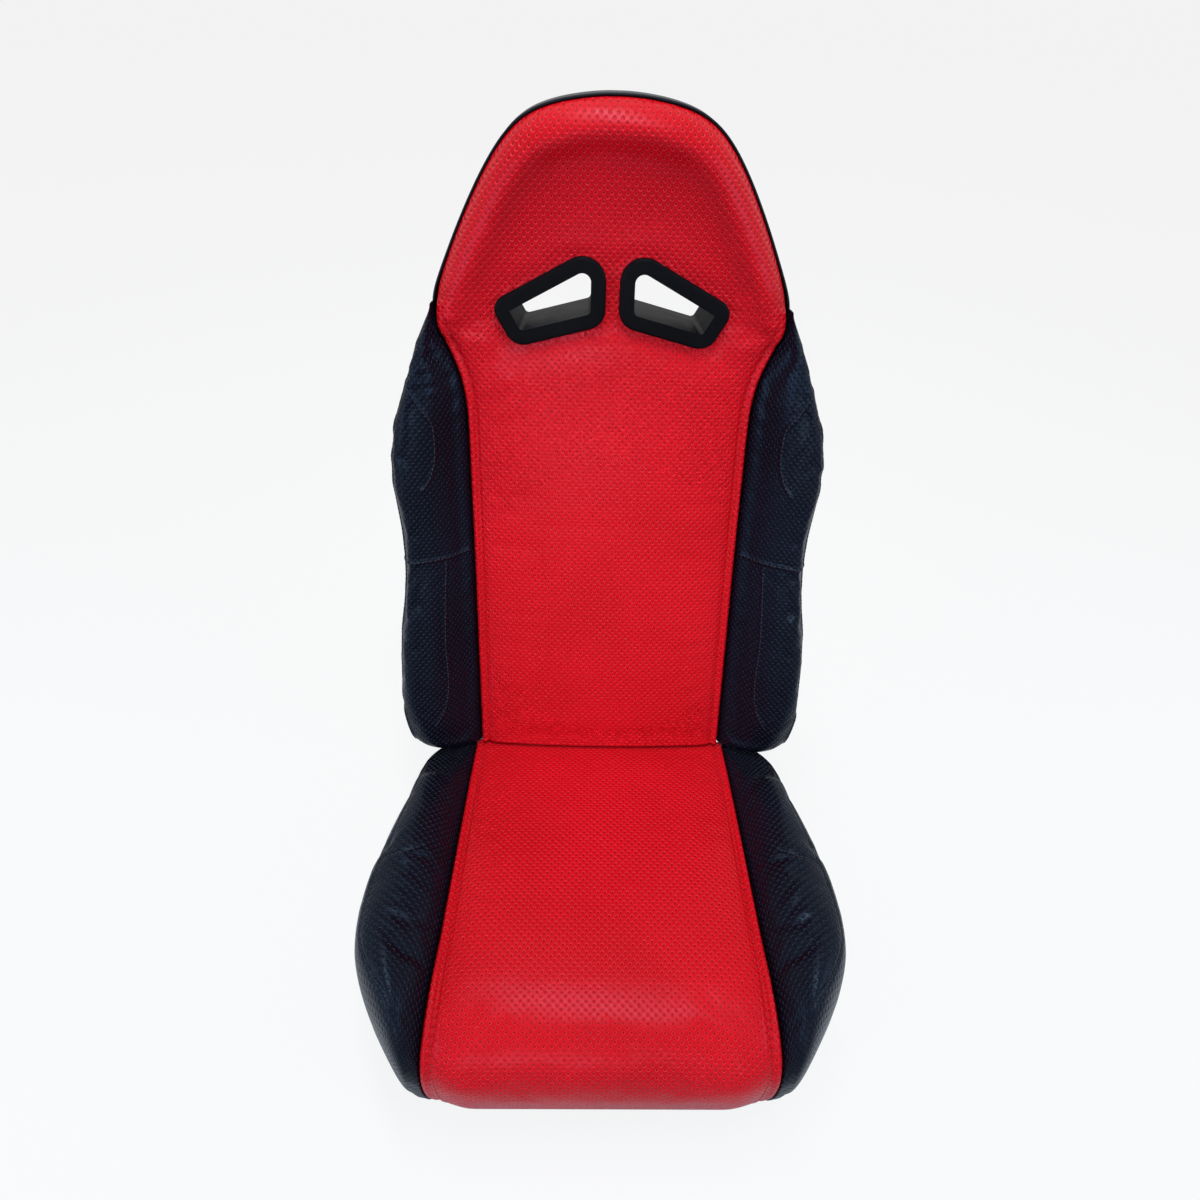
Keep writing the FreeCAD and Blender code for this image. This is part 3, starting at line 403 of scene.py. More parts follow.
# Columns across a panel, close together at its seams
def seam_columns(half, fine=SEAM_SPACING, step=COLUMN_STEP):
    inner = half - fine[-1]
    count = max(2, int(round(2 * inner / step)))
    middle = np.linspace(-inner, inner, count + 1)[1:-1]
    left = [-half + d for d in fine]
    return np.array(left + list(middle) + [-v for v in left[::-1]])


# Outline of a harness slot, with rounded corners
def slot_outline(side, grow=0.0, count=120):
    corners = np.array(SLOT_CORNERS, float)
    dense = []
    for i in range(4):
        p, q, r = corners[i - 1], corners[i], corners[(i + 1) % 4]
        a = (p - q) / np.linalg.norm(p - q)
        b = (r - q) / np.linalg.norm(r - q)
        half = math.acos(float(np.clip(a @ b, -1, 1))) / 2
        radius = SLOT_RADII[i]
        middle = q + (a + b) / np.linalg.norm(a + b) * radius / math.sin(half)
        start = q + a * radius / math.tan(half)
        end = q + b * radius / math.tan(half)
        t0 = math.atan2(*(start - middle)[::-1])
        t1 = math.atan2(*(end - middle)[::-1])
        turn = (t1 - t0 + math.pi) % (2 * math.pi) - math.pi
        for t in np.linspace(t0, t0 + turn, 14):
            dense.append(middle + (radius + grow) * np.array([math.cos(t), math.sin(t)]))
    dense.append(dense[0])
    ring = even(np.array(dense), count + 1)[:-1]
    ring[:, 0] *= side
    return ring


# Distance to the nearest slot's outline, negative inside it
def slot_distance(x, s):
    best = np.full(np.shape(x), 1e9)
    flat = np.stack([np.ravel(x), np.ravel(s)], 1)
    for side in (-1, 1):
        ring = slot_outline(side)
        nearest = np.full(len(flat), 1e9)
        for p in ring:
            nearest = np.minimum(nearest, np.hypot(flat[:, 0] - p[0], flat[:, 1] - p[1]))
        inside = np.zeros(len(flat), bool)
        for a, b in zip(ring, np.roll(ring, -1, axis=0)):
            over = (a[1] > flat[:, 1]) != (b[1] > flat[:, 1])
            slope = (b[0] - a[0]) * (flat[:, 1] - a[1]) / np.where(b[1] == a[1], 1e-9, b[1] - a[1]) + a[0]
            inside ^= over & (flat[:, 0] < slope)
        signed = np.where(inside, -nearest, nearest)
        best = np.minimum(best, signed.reshape(np.shape(x)))
    return best


# Cuts both harness slots through a piece, from one height over the back's face to another
def cut_slots(ob, low, high):
    for side in (-1, 1):
        ring = slot_outline(side, SLOT_GROW, 72)
        y, z, angle = spine(SLOT_STATION)
        y, z, angle = float(y), float(z), float(angle)
        verts = []
        for out in (low, high):
            for px, ps in ring:
                d = ps - SLOT_STATION
                vy = y + d * math.sin(angle) - out * math.cos(angle)
                vz = z + d * math.cos(angle) + out * math.sin(angle)
                verts.append((px * MM, vy * MM, vz * MM))
        n = len(ring)
        faces = [(i, (i + 1) % n, n + (i + 1) % n, n + i) for i in range(n)]
        faces += [tuple(range(n))[::-1], tuple(range(n, 2 * n))]
        cutter = mesh_object("cutter", verts, faces)
        face_outwards(cutter)
        mod = ob.modifiers.new("Slot", "BOOLEAN")
        mod.operation = "DIFFERENCE"
        mod.solver = "EXACT"
        mod.object = cutter
        apply_modifiers(ob)
        bpy.data.objects.remove(cutter)


# Rows of the head, from a square grid bent to a half disc; the lowest keep the back's width
def head_rows(columns, turns, grow, half_below, power):
    xs, ss = [], []
    for v in turns:
        disc_x = columns * math.sqrt(1 - v * v / 2)
        disc_y = v * np.sqrt(1 - columns ** 2 / 2)
        angle = np.degrees(np.arctan2(disc_y, np.abs(disc_x)))
        radius = (head_radius(angle) + grow) * np.hypot(disc_x, disc_y)
        t = np.arctan2(disc_y, disc_x)
        widen = half_below / (float(head_radius(0)) + grow) - 1
        xs.append(radius * np.cos(t) * (1 + widen * (1 - v) ** power))
        ss.append(HEAD_BASE + radius * np.sin(t))
    return xs, ss


# Head of the back: distance in from its outline
def head_inset(x, s):
    up = np.maximum(s - HEAD_BASE, 0)
    radius = np.hypot(x, up)
    angle = np.degrees(np.arctan2(up, np.abs(x)))
    round_top = head_radius(angle) - HEAD_WELT - radius
    below = np.where(s > 500, outline_half(s) - HEAD_WELT, panel_half(s)) - np.abs(x)
    return np.where(s > HEAD_BASE, round_top, below)


# Height of the red back panel and head over the spine's face
def back_height(x, s):
    share = smooth((s - 470) / 85)
    half = panel_half(s)
    inset = np.clip(half - np.abs(x), 0, None)
    crown = 7.0 * (1 - smooth((s - 300) / 200)) + 1.5
    low = edge_profile(inset, SEAM_EDGE) + crown * (1 - np.clip(np.abs(x) / half, 0, 1) ** 2.2)
    rim = edge_profile(np.clip(head_inset(x, s), 0, None), RIM_EDGE)
    out = low * (1 - share) + rim * share
    # the cover is drawn down under the bezels
    near = slot_distance(x, s)
    pinch = np.exp(-np.clip(near, 0, None) / 16.0)
    return out * (1 - pinch) - 2.2 * pinch


# Wrinkles on the right half of the back panel: x, station, heading, length, wave, width, height
BACK_WRINKLES = [(141 + 4 * math.cos(206), 529.1, -26, 30, 13, 9, 1.5),
                 (141 + 4 * math.cos(188), 521.0, -8, 34, 15, 9, 1.4),
                 (141 + 4 * math.cos(170), 512.9, 10, 28, 12, 9, 1.2),
                 (92, 462, 74, 28, 14, 12, 1.2), (40, 478, 82, 24, 18, 14, 0.5),
                 (128, 395, 62, 36, 14, 13, 1.2), (134, 330, 70, 34, 17, 12, 0.5)]


def back_wrinkles(x, s):
    out = np.zeros(np.shape(x))
    for side in (-1, 1):
        for px, ps, heading, *form in BACK_WRINKLES:
            turned = heading if side > 0 else 180 - heading
            out = out + wrinkle(x, s, side * px, ps, turned, *form)
    return out


# Red centre panel with the head
def build_back_panel():
    scale = PANEL[0][1]
    columns = seam_columns(1.0, tuple(d / scale for d in SEAM_SPACING), COLUMN_STEP / scale)
    low_rows = np.concatenate([[2.5, 4, 7, 11], np.linspace(16, HEAD_BASE, 80)])
    turns = np.concatenate([np.linspace(0, 0.9, 26)[1:], [0.93, 0.955, 0.975, 0.99, 1.0]])
    xs, ss = [], []
    for s in low_rows:
        half = float(panel_half(s)) if s < 500 else float(min(panel_half(s), head_radius(0) - HEAD_WELT))
        xs.append(columns * half)
        ss.append(np.full(len(columns), s))
    head_x, head_s = head_rows(columns, turns, -HEAD_WELT, xs[-1][-1], 6)
    x, s = np.array(xs + head_x), np.array(ss + head_s)
    h = back_height(x, s)
    border = (border_of(x), border_of(s), border_of(h))
    middle = np.array([0.0, 380.0])
    loop = np.stack(border[:2], 1)
    tangent = np.roll(loop, -1, axis=0) - np.roll(loop, 1, axis=0)
    outward = np.stack([tangent[:, 1], -tangent[:, 0]], 1)
    outward /= np.linalg.norm(outward, axis=1)[:, None]
    flip = np.sign(((loop - middle) * outward).sum(1))
    outward *= flip[:, None]
    sides, side_uv = [], []
    for depth, grow in ((-20, 0.6), (-28, 0.4), (-37, -0.6), (-43, -1.6)):
        out = np.minimum(depth, border[2] - 1.0)
        px = border[0] + outward[:, 0] * grow
        ps = border[1] + outward[:, 1] * grow
        sides.append(on_back(px, ps, out))
        far = (border[2] - out)[:, None] * outward
        side_uv.append((loop + far) * MM)
    behind = np.where(s > 660, s - (s - 660) * 0.05, s) + np.minimum(s - 2.5, 0)
    back = on_back(x * 0.985, behind, np.full(x.shape, -BACK_FOAM + 0.5))
    ob = patch_pad("back_panel", on_back(x, s, h), np.stack([x, s], -1) * MM, sides, side_uv, back)
    inset = np.where(s < 480, panel_half(s) - np.abs(x), head_inset(x, s))
    from_slot = slot_distance(x, s)
    free = smooth((np.minimum(inset, s - 4) - 13) / 14) * smooth((from_slot - 1) / 12)
    part = slice(0, x.size)
    inflate(ob, part, free.ravel(), BACK_CAP, pressure=3.0, slack=0.004)
    dents = back_wrinkles(x, s) * smooth((inset - 12) / 8) * smooth(from_slot / 6)
    set_points(ob, pushed_out(ob, part, dents.ravel()))
    subdivide(ob, 1)
    cut_slots(ob, -130, 60)
    return ob


# Cross section of a back bolster, from the seam over the ridge to the outer edge
BOLSTER_SHAPE = [(0.0, 0.0), (0.02, 0.10), (0.10, 0.34), (0.24, 0.64), (0.40, 0.89), (0.54, 0.99),
                 (0.66, 1.0), (0.79, 0.93), (0.90, 0.76), (0.97, 0.50), (1.0, 0.18)]
BOLSTER_POINTS = 26
# Wrinkles of a back bolster: x, station, heading, length, wave, width, height
LEFT_FOLDS = [(184, 482, 10, 18, 12, 8, 2.0), (192, 466, 4, 24, 13, 10, 2.2),
              (190, 448, 176, 22, 13, 10, 1.6)]
RIGHT_FOLDS = [(194, 478, 62, 26, 11, 9, 1.8), (206, 452, 66, 26, 12, 9, 1.8),
               (222, 372, 130, 14, 11, 8, 1.8)]
BOTH_FOLDS = [(214, 405, 80, 20, 14, 10, 0.9), (192, 385, 75, 20, 15, 10, 0.5),
              (212, 262, 20, 20, 14, 12, 0.8), (188, 240, 150, 22, 15, 12, 0.7),
              (216, 205, 60, 26, 17, 12, 0.6), (178, 120, 100, 30, 19, 12, 0.4),
              (210, 60, 40, 24, 16, 12, 0.7)]


def bolster_curve(s):
    inner = float(panel_half(s)) + 0.5
    half = float(outline_half(s)) - 1.0
    rise = float(bolster_rise(s))
    width = max(half - inner, 2.0)
    shape = np.array(BOLSTER_SHAPE)
    xs = inner + shape[:, 0] * width
    hs = -SEAM_DEPTH + shape[:, 1] * (rise + SEAM_DEPTH - 2.0)
    return curve_through(np.stack([xs, hs], 1), BOLSTER_POINTS), inner, half


def build_back_bolster(side, name):
    stations = np.concatenate([[2.6, 4.5, 8, 12.5], np.linspace(18, 520, 84), [524, 528, 531.5]])
    rings, uv = [], []
    for s in stations:
        curve, inner, half = bolster_curve(s)
        wall = np.array([(half, -10), (half - 0.6, -20), (half - 1.2, -30), (half - 2.2, -39),
                         (half - 5, -44.3)])
        floor = np.stack([np.linspace(half - 10, inner + 6, 6), np.full(6, -44.6)], 1)
        inside = np.array([(inner + 1.0, -43.5), (inner, -34.0), (inner, -24.0), (inner, -15.0)])
        loop = np.vstack([curve, wall, floor, inside])
        # the lower ear is rounded off towards the outer edge
        out = (loop[:, 0] - inner) / max(half - inner, 1)
        low = max(0.0, 1 - (s - 2.6) / 26.0)
        lift = 11.0 * low * np.clip(out, 0, 1) ** 5
        soft = 1 - 0.20 * max(0.0, 1 - (s - 2.6) / 14.0) ** 2
        over_seam = -SEAM_DEPTH + (loop[:, 1] + SEAM_DEPTH) * soft
        heights = np.where(loop[:, 1] > -SEAM_DEPTH, over_seam, loop[:, 1])
        ring = on_back(side * loop[:, 0], s + lift, heights)
        rings.append(ring)
        uv.append(np.stack([side * (inner + lengths(loop)), s + lift], 1) * MM)
    ob = ring_pad(name, rings, uv, bulge=0.001)
    loops = len(rings[0])
    s_of = np.repeat(stations, loops)
    k_of = np.tile(np.arange(loops), len(stations))
    free = smooth((k_of - 1) / 3) * smooth((BOLSTER_POINTS + 3.5 - k_of) / 3)
    free = free * smooth((s_of - 4) / 18) * smooth((526 - s_of) / 14)
    free = np.where(k_of <= BOLSTER_POINTS + 3, free, 0)
    part = own_rings(rings)
    inflate(ob, part, free, BOLSTER_CAP, pressure=4.5, slack=0.012)
    x = np.abs(points_of(ob)[part, 0]) / MM
    dents = np.zeros(len(free))
    random.seed(11 if side < 0 else 12)
    folds = LEFT_FOLDS if side < 0 else RIGHT_FOLDS
    for px, ps, heading, *form, height in folds + BOTH_FOLDS:
        px = px + random.uniform(-5, 5)
        ps = ps + random.uniform(-9, 9)
        heading = heading + random.uniform(-14, 14)
        dents += wrinkle(x, s_of, px, ps, heading, *form, height * random.uniform(0.7, 1.25))
    set_points(ob, pushed_out(ob, part, dents * free))
    subdivide(ob, 2)
    return ob


# Points along a base cushion's top, front roll, tuck, underside and rear
N_TOP, N_ROLL, N_TUCK, N_LOW, N_REAR = 50, 18, 9, 20, 5


# Side profile of a base cushion: rear to front roll, round to the underside and back
def base_profile(rise, crown, pull, rear, underside, apron, n_top=N_TOP, n_roll=N_ROLL, n_tuck=N_TUCK):
    top_front = CREASE_Y - BASE_TOP_LENGTH * math.cos(BASE_TILT) + pull
    front = BASE_FRONT_Y + pull
    f = np.linspace(0, 1, n_top, endpoint=False)
    y = rear + (top_front - rear) * f
    z = base_top(y) + rise * (0.6 + 0.4 * smooth(f * 1.6)) + crown * 4 * f * (1 - f)
    top_z = base_top(top_front) + rise
    nose_z = underside + (top_z - underside) * 0.52
    phi = np.linspace(0, math.pi / 2, n_roll, endpoint=False)
    roll_y = top_front + (front - top_front) * np.sin(phi) ** 0.80
    roll_z = nose_z + (top_z - nose_z) * np.cos(phi) ** 0.74
    g = np.linspace(0, 1, n_tuck, endpoint=False)
    tuck_y = front + 9 * smooth(g) * g
    tuck_z = nose_z + (underside - nose_z) * g
    toe = front + 9 + 2
    if apron:
        lip = BASE_FRONT_Y + 26 + pull * 0.3
        low = [(toe, underside), (lip, underside), (lip, (underside + FOAM_BOTTOM) / 2), (lip, FOAM_BOTTOM)]
        low += [(v, FOAM_BOTTOM) for v in np.linspace(lip + 10, rear - 4, N_LOW)]
    else:
        low = [(v, underside) for v in np.linspace(toe, rear - 4, N_LOW + 4)]
    low = np.array(low)
    up = np.linspace(low[-1][1] + 6, z[0] - 4, N_REAR)
    rear_wall = np.stack([np.full(N_REAR, rear), up], 1)
    outer = np.stack([np.concatenate([y, roll_y, tuck_y]), np.concatenate([z, roll_z, tuck_z])], 1)
    return np.concatenate([outer, low, rear_wall]), len(outer)


# Keeps the base's rear part below the back's lower end
def under_back(points):
    y = points[..., 1] / MM
    z = points[..., 2] / MM
    limit = CREASE_Z + (-0.6 - (y - CREASE_Y) * math.sin(RECLINE_LOW)) / math.cos(RECLINE_LOW)
    points[..., 2] = np.where(y > CREASE_Y - 65, np.minimum(z, limit), z) * MM
    return points


# How far the base's sides stand out from the bolsters' straight plan, by distance ahead of the crease
WAIST = table([(-20, 0), (0, -1), (45, -4), (62, -4), (80, -2), (97, 0), (131, 5), (166, 10), (200, 16),
               (235, 18.5), (260, 19), (287, 16), (304, 10.5), (321, 2), (345, -8), (365, -14),
               (400, -13)], 8)
# Half width of the base's red panel and of its stitch line, by length along the profile from the rear
PANEL_AT = (0, 60, 280, 390, 440, 520)
PANEL_WIDTH = (158.5, 160, 163.5, 168, 168, 164)
STITCH_WIDTH = (158.5, 160, 163.5, 167, 164, 159)
# Wrinkles of the base panel: x, length along the profile, heading, length, wave, width, height
BASE_WRINKLES = [(-128, 70, 60, 30, 17, 12, 0.5), (131, 60, 120, 30, 17, 12, 0.5),
                 (-140, 330, 15, 26, 15, 10, 0.6), (141, 335, 165, 26, 15, 10, 0.6),
                 (-142, 372, 5, 22, 14, 9, 0.5), (142, 378, 175, 22, 14, 9, 0.5)]
# Wrinkles of a base bolster: x, y, heading, length, wave, width, height
BASE_FOLDS = [(205, -92, 35, 30, 17, 12, 0.9), (214, -127, 20, 30, 16, 12, 0.9),
              (196, -142, 50, 28, 17, 12, 0.6), (218, -62, 55, 24, 16, 12, 0.8),
              (190, -182, 30, 22, 14, 10, 0.8), (184, 28, 110, 28, 18, 12, 0.6),
              (206, 8, 70, 26, 16, 12, 0.7), (186, -52, 100, 26, 17, 12, 0.5)]


# Where a base pad's profiles are free to swell; edge is the freedom across the pad, by profile
def base_freedom(rings, edge, outer, margin):
    loops = len(rings[0])
    k = np.tile(np.arange(loops), len(rings))
    return np.repeat(edge, loops) * smooth((outer + margin - k) / 6) * smooth((k - 1) / 6)


def build_base_panel():
    columns = seam_columns(BASE_PANEL_HALF)
    inset = BASE_PANEL_HALF - np.abs(columns)
    rings, uv = [], []
    for x, d in zip(columns, inset):
        sink = float(edge_profile(d, SEAM_EDGE))
        share = 1 - smooth(d / 70)
        pull = 8.0 * (1 - smooth(d / 40)) - 0.3 * sink
        loop, outer = base_profile(sink, 6.0 - 3.0 * share, pull, BASE_REAR_Y, BASE_UNDERSIDE, True)
        along = lengths(loop)
        edge = x * (np.interp(along, PANEL_AT, PANEL_WIDTH) / BASE_PANEL_HALF)
        rings.append(np.stack([edge, loop[:, 0], loop[:, 1]], 1) * MM)
        uv.append(np.stack([edge, -along], 1) * MM)
    ob = ring_pad("base_panel", rings, uv, steps=(0.985, 0.9, 0.6, 0.25))
    part = own_rings(rings)
    free = base_freedom(rings, smooth((inset - 12) / 14), outer, -3)
    inflate(ob, part, free, BASE_CAP, pressure=3.0, slack=0.004)
    x = points_of(ob)[part, 0] / MM
    t = np.array(uv)[:, :, 1].ravel() / -MM
    dents = np.zeros(len(free))
    for fold in BASE_WRINKLES:
        dents += wrinkle(x, t, *fold)
    set_points(ob, under_back(pushed_out(ob, part, dents * free)))
    subdivide(ob, 1)
    return ob


def build_base_bolster(side, name):
    inner = BASE_PANEL_HALF + 0.7
    width = BASE_HALF_WIDTH - inner
    shape = np.array([(0.0, -8.5), (0.02, -4.5), (0.09, 4.5), (0.22, 16), (0.38, 26), (0.53, 31.5),
                      (0.67, 32), (0.80, 27.5), (0.90, 18), (0.965, 4), (1.0, -14)])
    path = curve_through(np.stack([inner + shape[:, 0] * width, shape[:, 1]], 1), 26)
    pull = table([(inner - 4, 7), (inner, 8), (inner + 18, 11), (200, 23), (212, 34), (220, 47), (226, 64),
                  (230, 84)], 3)
    rear = table([(inner - 4, 139), (inner, 138.5), (inner + 18, 136), (200, 124), (212, 106), (220, 88),
                  (226, 60), (230, 22)], 3)
    under = table([(inner, 56), (205, 56), (220, 61), (226, 68), (230, 80)], 2)
    rings, uv = [], []
    for (x, rise), across in zip(path, lengths(path)):
        loop, outer = base_profile(rise, 4.0, float(pull(x)), float(rear(x)), float(under(x)), False)
        along = lengths(loop)
        place = np.interp(along, PANEL_AT, PANEL_WIDTH) - BASE_PANEL_HALF
        blend = 1 - smooth((x - inner) / width)
        px = side * (x + place * blend + WAIST(CREASE_Y - loop[:, 0]) * (1 - blend))
        rings.append(np.stack([px, loop[:, 0], loop[:, 1]], 1) * MM)
        u = np.full(len(along), side * (inner + across))
        uv.append(np.stack([u, -along - (BASE_REAR_Y - float(rear(x)))], 1) * MM)
    ob = ring_pad(name, rings, uv, bulge=0.004, steps=(0.95, 0.85, 0.6, 0.25))
    part = own_rings(rings)
    free = base_freedom(rings, smooth((np.arange(len(rings)) - 1) / 3), outer, 2)
    inflate(ob, part, free, BOLSTER_CAP, pressure=4.5, slack=0.012)
    x, y = (points_of(ob)[part, :2] / MM).T
    random.seed(21 if side < 0 else 22)
    dents = np.zeros(len(free))
    for px, py, heading, *form, height in BASE_FOLDS:
        heading = heading + random.uniform(-12, 12)
        px = px + random.uniform(-4, 4)
        py = py + random.uniform(-8, 8)
        dents += wrinkle(np.abs(x), y, px, py, heading, *form, height * random.uniform(0.7, 1.2))
    set_points(ob, under_back(pushed_out(ob, part, dents * free)))
    subdivide(ob, 2)
    return ob


# Rear cover: a shell over the frame, its edges rounded, closed over the head
def build_rear_cover():
    columns = np.linspace(-1, 1, 61)
    xs, ss = [], []
    for s in np.linspace(3, HEAD_BASE, 78):
        half = float(outline_half(s)) - 1.5 * (1 - float(smooth((s - 470) / 50)))
        xs.append(columns * half)
        ss.append(np.full(len(columns), s))
    head_x, head_s = head_rows(columns, np.linspace(0, 1, 30)[1:], 0.2, xs[-1][-1], 4)
    x, s = np.array(xs + head_x), np.array(ss + head_s)
    inset = np.where(s > HEAD_BASE, head_inset(x, s), outline_half(s) - 1.5 - np.abs(x))
    inset = np.clip(inset, 0, None)
    thin = smooth(1 - (711 - s) / 90.0)
    depth = BACK_DEPTH - 18 * thin
    corner = 20.0
    k = np.clip(1 - inset / corner, 0, 1)
    out = -depth + corner * (1 - np.sqrt(1 - k ** 2)) * 0.86
    border = (border_of(x), border_of(s), border_of(out))
    loop = np.stack(border[:2], 1)
    sides, side_uv = [], []
    rings = 6
    welt = smooth((border[1] - 486) / 34)
    edge = -BACK_FOAM - 0.8 + (BACK_FOAM - 15.0) * welt
    for i in range(1, rings + 1):
        level = border[2] + (edge - border[2]) * i / rings
        sides.append(on_back(border[0], border[1], level))
        side_uv.append(loop * MM * (1 + 0.01 * i))
    return patch_pad("back_cover", on_back(x, s, out), np.stack([x, s], -1) * MM, sides, side_uv, None)


# Gives the cover its thickness, inwards, and cuts its harness slots
def finish_cover(ob):
    mod = ob.modifiers.new("Thickness", "SOLIDIFY")
    mod.thickness = COVER_SHEET * MM
    mod.offset = -1
    apply_modifiers(ob)
    cut_slots(ob, -130, -40)


# Felt between the springs and the foam, with a soft rounded edge
def build_felt():
    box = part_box("spring_felt")
    low, high = [np.array(v) / MM for v in (box[0], box[1])]
    half = (high - low) / 2
    mid = (high + low) / 2
    gx, gy = np.meshgrid(np.linspace(-1, 1, 44) * half[0], np.linspace(-1, 1, 54) * half[1], indexing="ij")
    radius = 20.0
    cx = np.abs(gx) - (half[0] - radius)
    cy = np.abs(gy) - (half[1] - radius)
    over = np.hypot(np.maximum(cx, 0), np.maximum(cy, 0))
    shrink = np.where((cx > 0) & (cy > 0) & (over > radius), radius / np.maximum(over, 1e-6), 1.0)
    gx = np.where(shrink < 1, np.sign(gx) * (half[0] - radius + cx * shrink), gx)
    gy = np.where(shrink < 1, np.sign(gy) * (half[1] - radius + cy * shrink), gy)
    lump = 0.16 * (np.sin(gx * 0.13 + 1) * np.cos(gy * 0.11) + np.sin(gx * 0.31) * np.sin(gy * 0.27 + 2))
    top = np.stack([gx + mid[0], gy + mid[1], high[2] - 0.25 + lump], -1) * MM
    low_face = np.stack([gx + mid[0], gy + mid[1], low[2] + 0.25 + lump], -1) * MM
    middle_ring = border_of(top)
    middle_ring[:, 2] = mid[2] * MM
    middle_ring[:, :2] += np.sign(middle_ring[:, :2] - mid[:2] * MM) * 0.25 * MM
    uv = np.stack([gx, gy], -1) * MM
    return patch_pad("felt_sheet", top, uv, [middle_ring], [border_of(uv)], low_face)


# Elastic webbing round both uprights and across the gap
def build_straps():
    verts, faces, uv = [], [], []
    for s in STRAP_STATIONS:
        outer = TUBE / 2 + 0.3
        wrap = np.linspace(math.pi / 2, math.pi * 2.36, 26)
        right = [(FRAME_X + outer * math.cos(t), outer * math.sin(t)) for t in math.pi - wrap]
        left = [(-FRAME_X + outer * math.cos(t), outer * math.sin(t)) for t in wrap[::-1]]
        gap = np.linspace(-FRAME_X, FRAME_X, 36)[1:-1]
        across = [(x, outer - 0.9 * math.cos(math.pi * x / (2 * FRAME_X))) for x in gap]
        path = np.array(left + across + right)
        tangent = np.gradient(path, axis=0)
        tangent /= np.linalg.norm(tangent, axis=1)[:, None]
        normal = np.stack([-tangent[:, 1], tangent[:, 0]], 1)
        wide = np.linspace(-STRAP_WIDTH / 2, STRAP_WIDTH / 2, 9)
        section = [(w, 0.0) for w in wide] + [(w, STRAP_SHEET - 0.4) for w in wide[::-1]]
        base = len(verts)
        for p, n, a in zip(path, normal, lengths(path)):
            for w, h in section:
                q = p + n * h
                verts.append(on_back(q[0], s + w, q[1] - FRAME_DEPTH))
                uv.append((a * MM, w * MM))
        rows = np.arange(base, len(verts)).reshape(len(path), len(section))
        faces += quads(rows, wrap=True)
        faces += [tuple(rows[0][::-1]), tuple(rows[-1])]
    ob = mesh_object("elastic_straps", np.array(verts), faces, np.array(uv))
    face_outwards(ob)
    return ob


def surface_of(ob):
    bm = bmesh.new()
    bm.from_mesh(ob.data)
    tree = BVHTree.FromBMesh(bm)
    bm.free()
    return tree


# How far outside a piece its lines are looked at from, in millimetres, and the reach of the look, in metres
LOOK_FROM = 120.0
LOOK_REACH = 0.3


# Points of a line drawn on a piece, found by looking at it from outside
def trace(tree, origins, aims):
    found = []
    for origin, aim in zip(origins, aims):
        hit, normal = tree.ray_cast(Vector(origin), Vector(aim).normalized(), LOOK_REACH)[:2]
        if hit is not None:
            if normal.dot(Vector(aim)) > 0:
                normal = -normal
            found.append((hit, normal))
    return found


def back_line(points, count):
    flat = curve_through(points, count)
    angle = spine(flat[:, 1])[2]
    origins = on_back(flat[:, 0], flat[:, 1], np.full(count, LOOK_FROM))
    aims = np.stack([np.zeros(count), np.cos(angle), -np.sin(angle)], 1)
    return origins, aims


# Presses a narrow groove along a line on a piece
def engrave(ob, line, depth, width):
    tree = KDTree(len(line))
    points = [p for p, n in line]
    for i, p in enumerate(points):
        tree.insert(p, i)
    tree.balance()
    co = points_of(ob)
    no = normals_of(ob)
    low = np.min(np.array(points), axis=0) - width
    high = np.max(np.array(points), axis=0) + width
    for i in np.where(((co > low) & (co < high)).all(1))[0]:
        d = tree.find(Vector(co[i]))[2]
        if d < width:
            t = 1 - (d / width) ** 2
            co[i] -= no[i] * depth * t * t
    set_points(ob, co)


STITCH_PITCH = 4.6 * MM
STITCH_LENGTH = 3.5 * MM
THREAD_RADIUS = 0.42 * MM
THREAD_LIFT = 0.25 * MM
THREAD_SIDES = 6
# One stitch: share of its length, how deep it is sunk and how thick it is, in thread radii
STITCH_SHAPE = ((0.0, 1.9, 0.35), (0.14, 0.55, 0.85), (0.5, 0.0, 1.0), (0.86, 0.55, 0.85), (1.0, 1.9, 0.35))


# Stitches along a line: short rounded lengths of thread, sunk at both ends
def stitches(name, lines):
    verts, faces = [], []
    turns = [2 * math.pi * i / THREAD_SIDES for i in range(THREAD_SIDES)]
    for line in lines:
        if len(line) < 3:
            continue
        p = np.array([list(q) for q, n in line])
        n = np.array([list(m) for q, m in line])
        along = lengths(p)
        for start in np.arange(0, along[-1] - STITCH_LENGTH, STITCH_PITCH):
            first = len(verts)
            for f, drop, thick in STITCH_SHAPE:
                at = start + f * STITCH_LENGTH
                m = point_at(at, along, n)
                m /= np.linalg.norm(m)
                ahead = point_at(at + 0.4 * MM, along, p) - point_at(at - 0.4 * MM, along, p)
                ahead /= max(np.linalg.norm(ahead), 1e-9)
                cross = np.cross(ahead, m)
                cross /= max(np.linalg.norm(cross), 1e-9)
                c = point_at(at, along, p) + m * (THREAD_LIFT - drop * THREAD_RADIUS)
                for a in turns:
                    verts.append(c + (cross * math.cos(a) + m * math.sin(a)) * THREAD_RADIUS * thick)
            grid = np.arange(first, len(verts)).reshape(-1, THREAD_SIDES)
            faces += quads(grid, wrap=True)
            faces += [tuple(grid[0][::-1]), tuple(grid[-1])]
    ob = mesh_object(name, np.array(verts), faces)
    face_outwards(ob)
    return ob


# Materials
def new_material(name):
    mat = bpy.data.materials.new(name)
    mat.use_nodes = True
    mat.node_tree.nodes.clear()
    return mat, mat.node_tree


# New node; each input gets a link from a socket or a plain value
def add(tree, kind, inputs=None, **settings):
    node = tree.nodes.new(kind)
    for key, value in settings.items():
        setattr(node, key, value)
    for key, value in (inputs or {}).items():
        if isinstance(value, bpy.types.NodeSocket):
            tree.links.new(value, node.inputs[key])
        else:
            node.inputs[key].default_value = value
    return node


def calc(tree, operation, a, b=0.0):
    return add(tree, "ShaderNodeMath", {0: a, 1: b}, operation=operation).outputs[0]


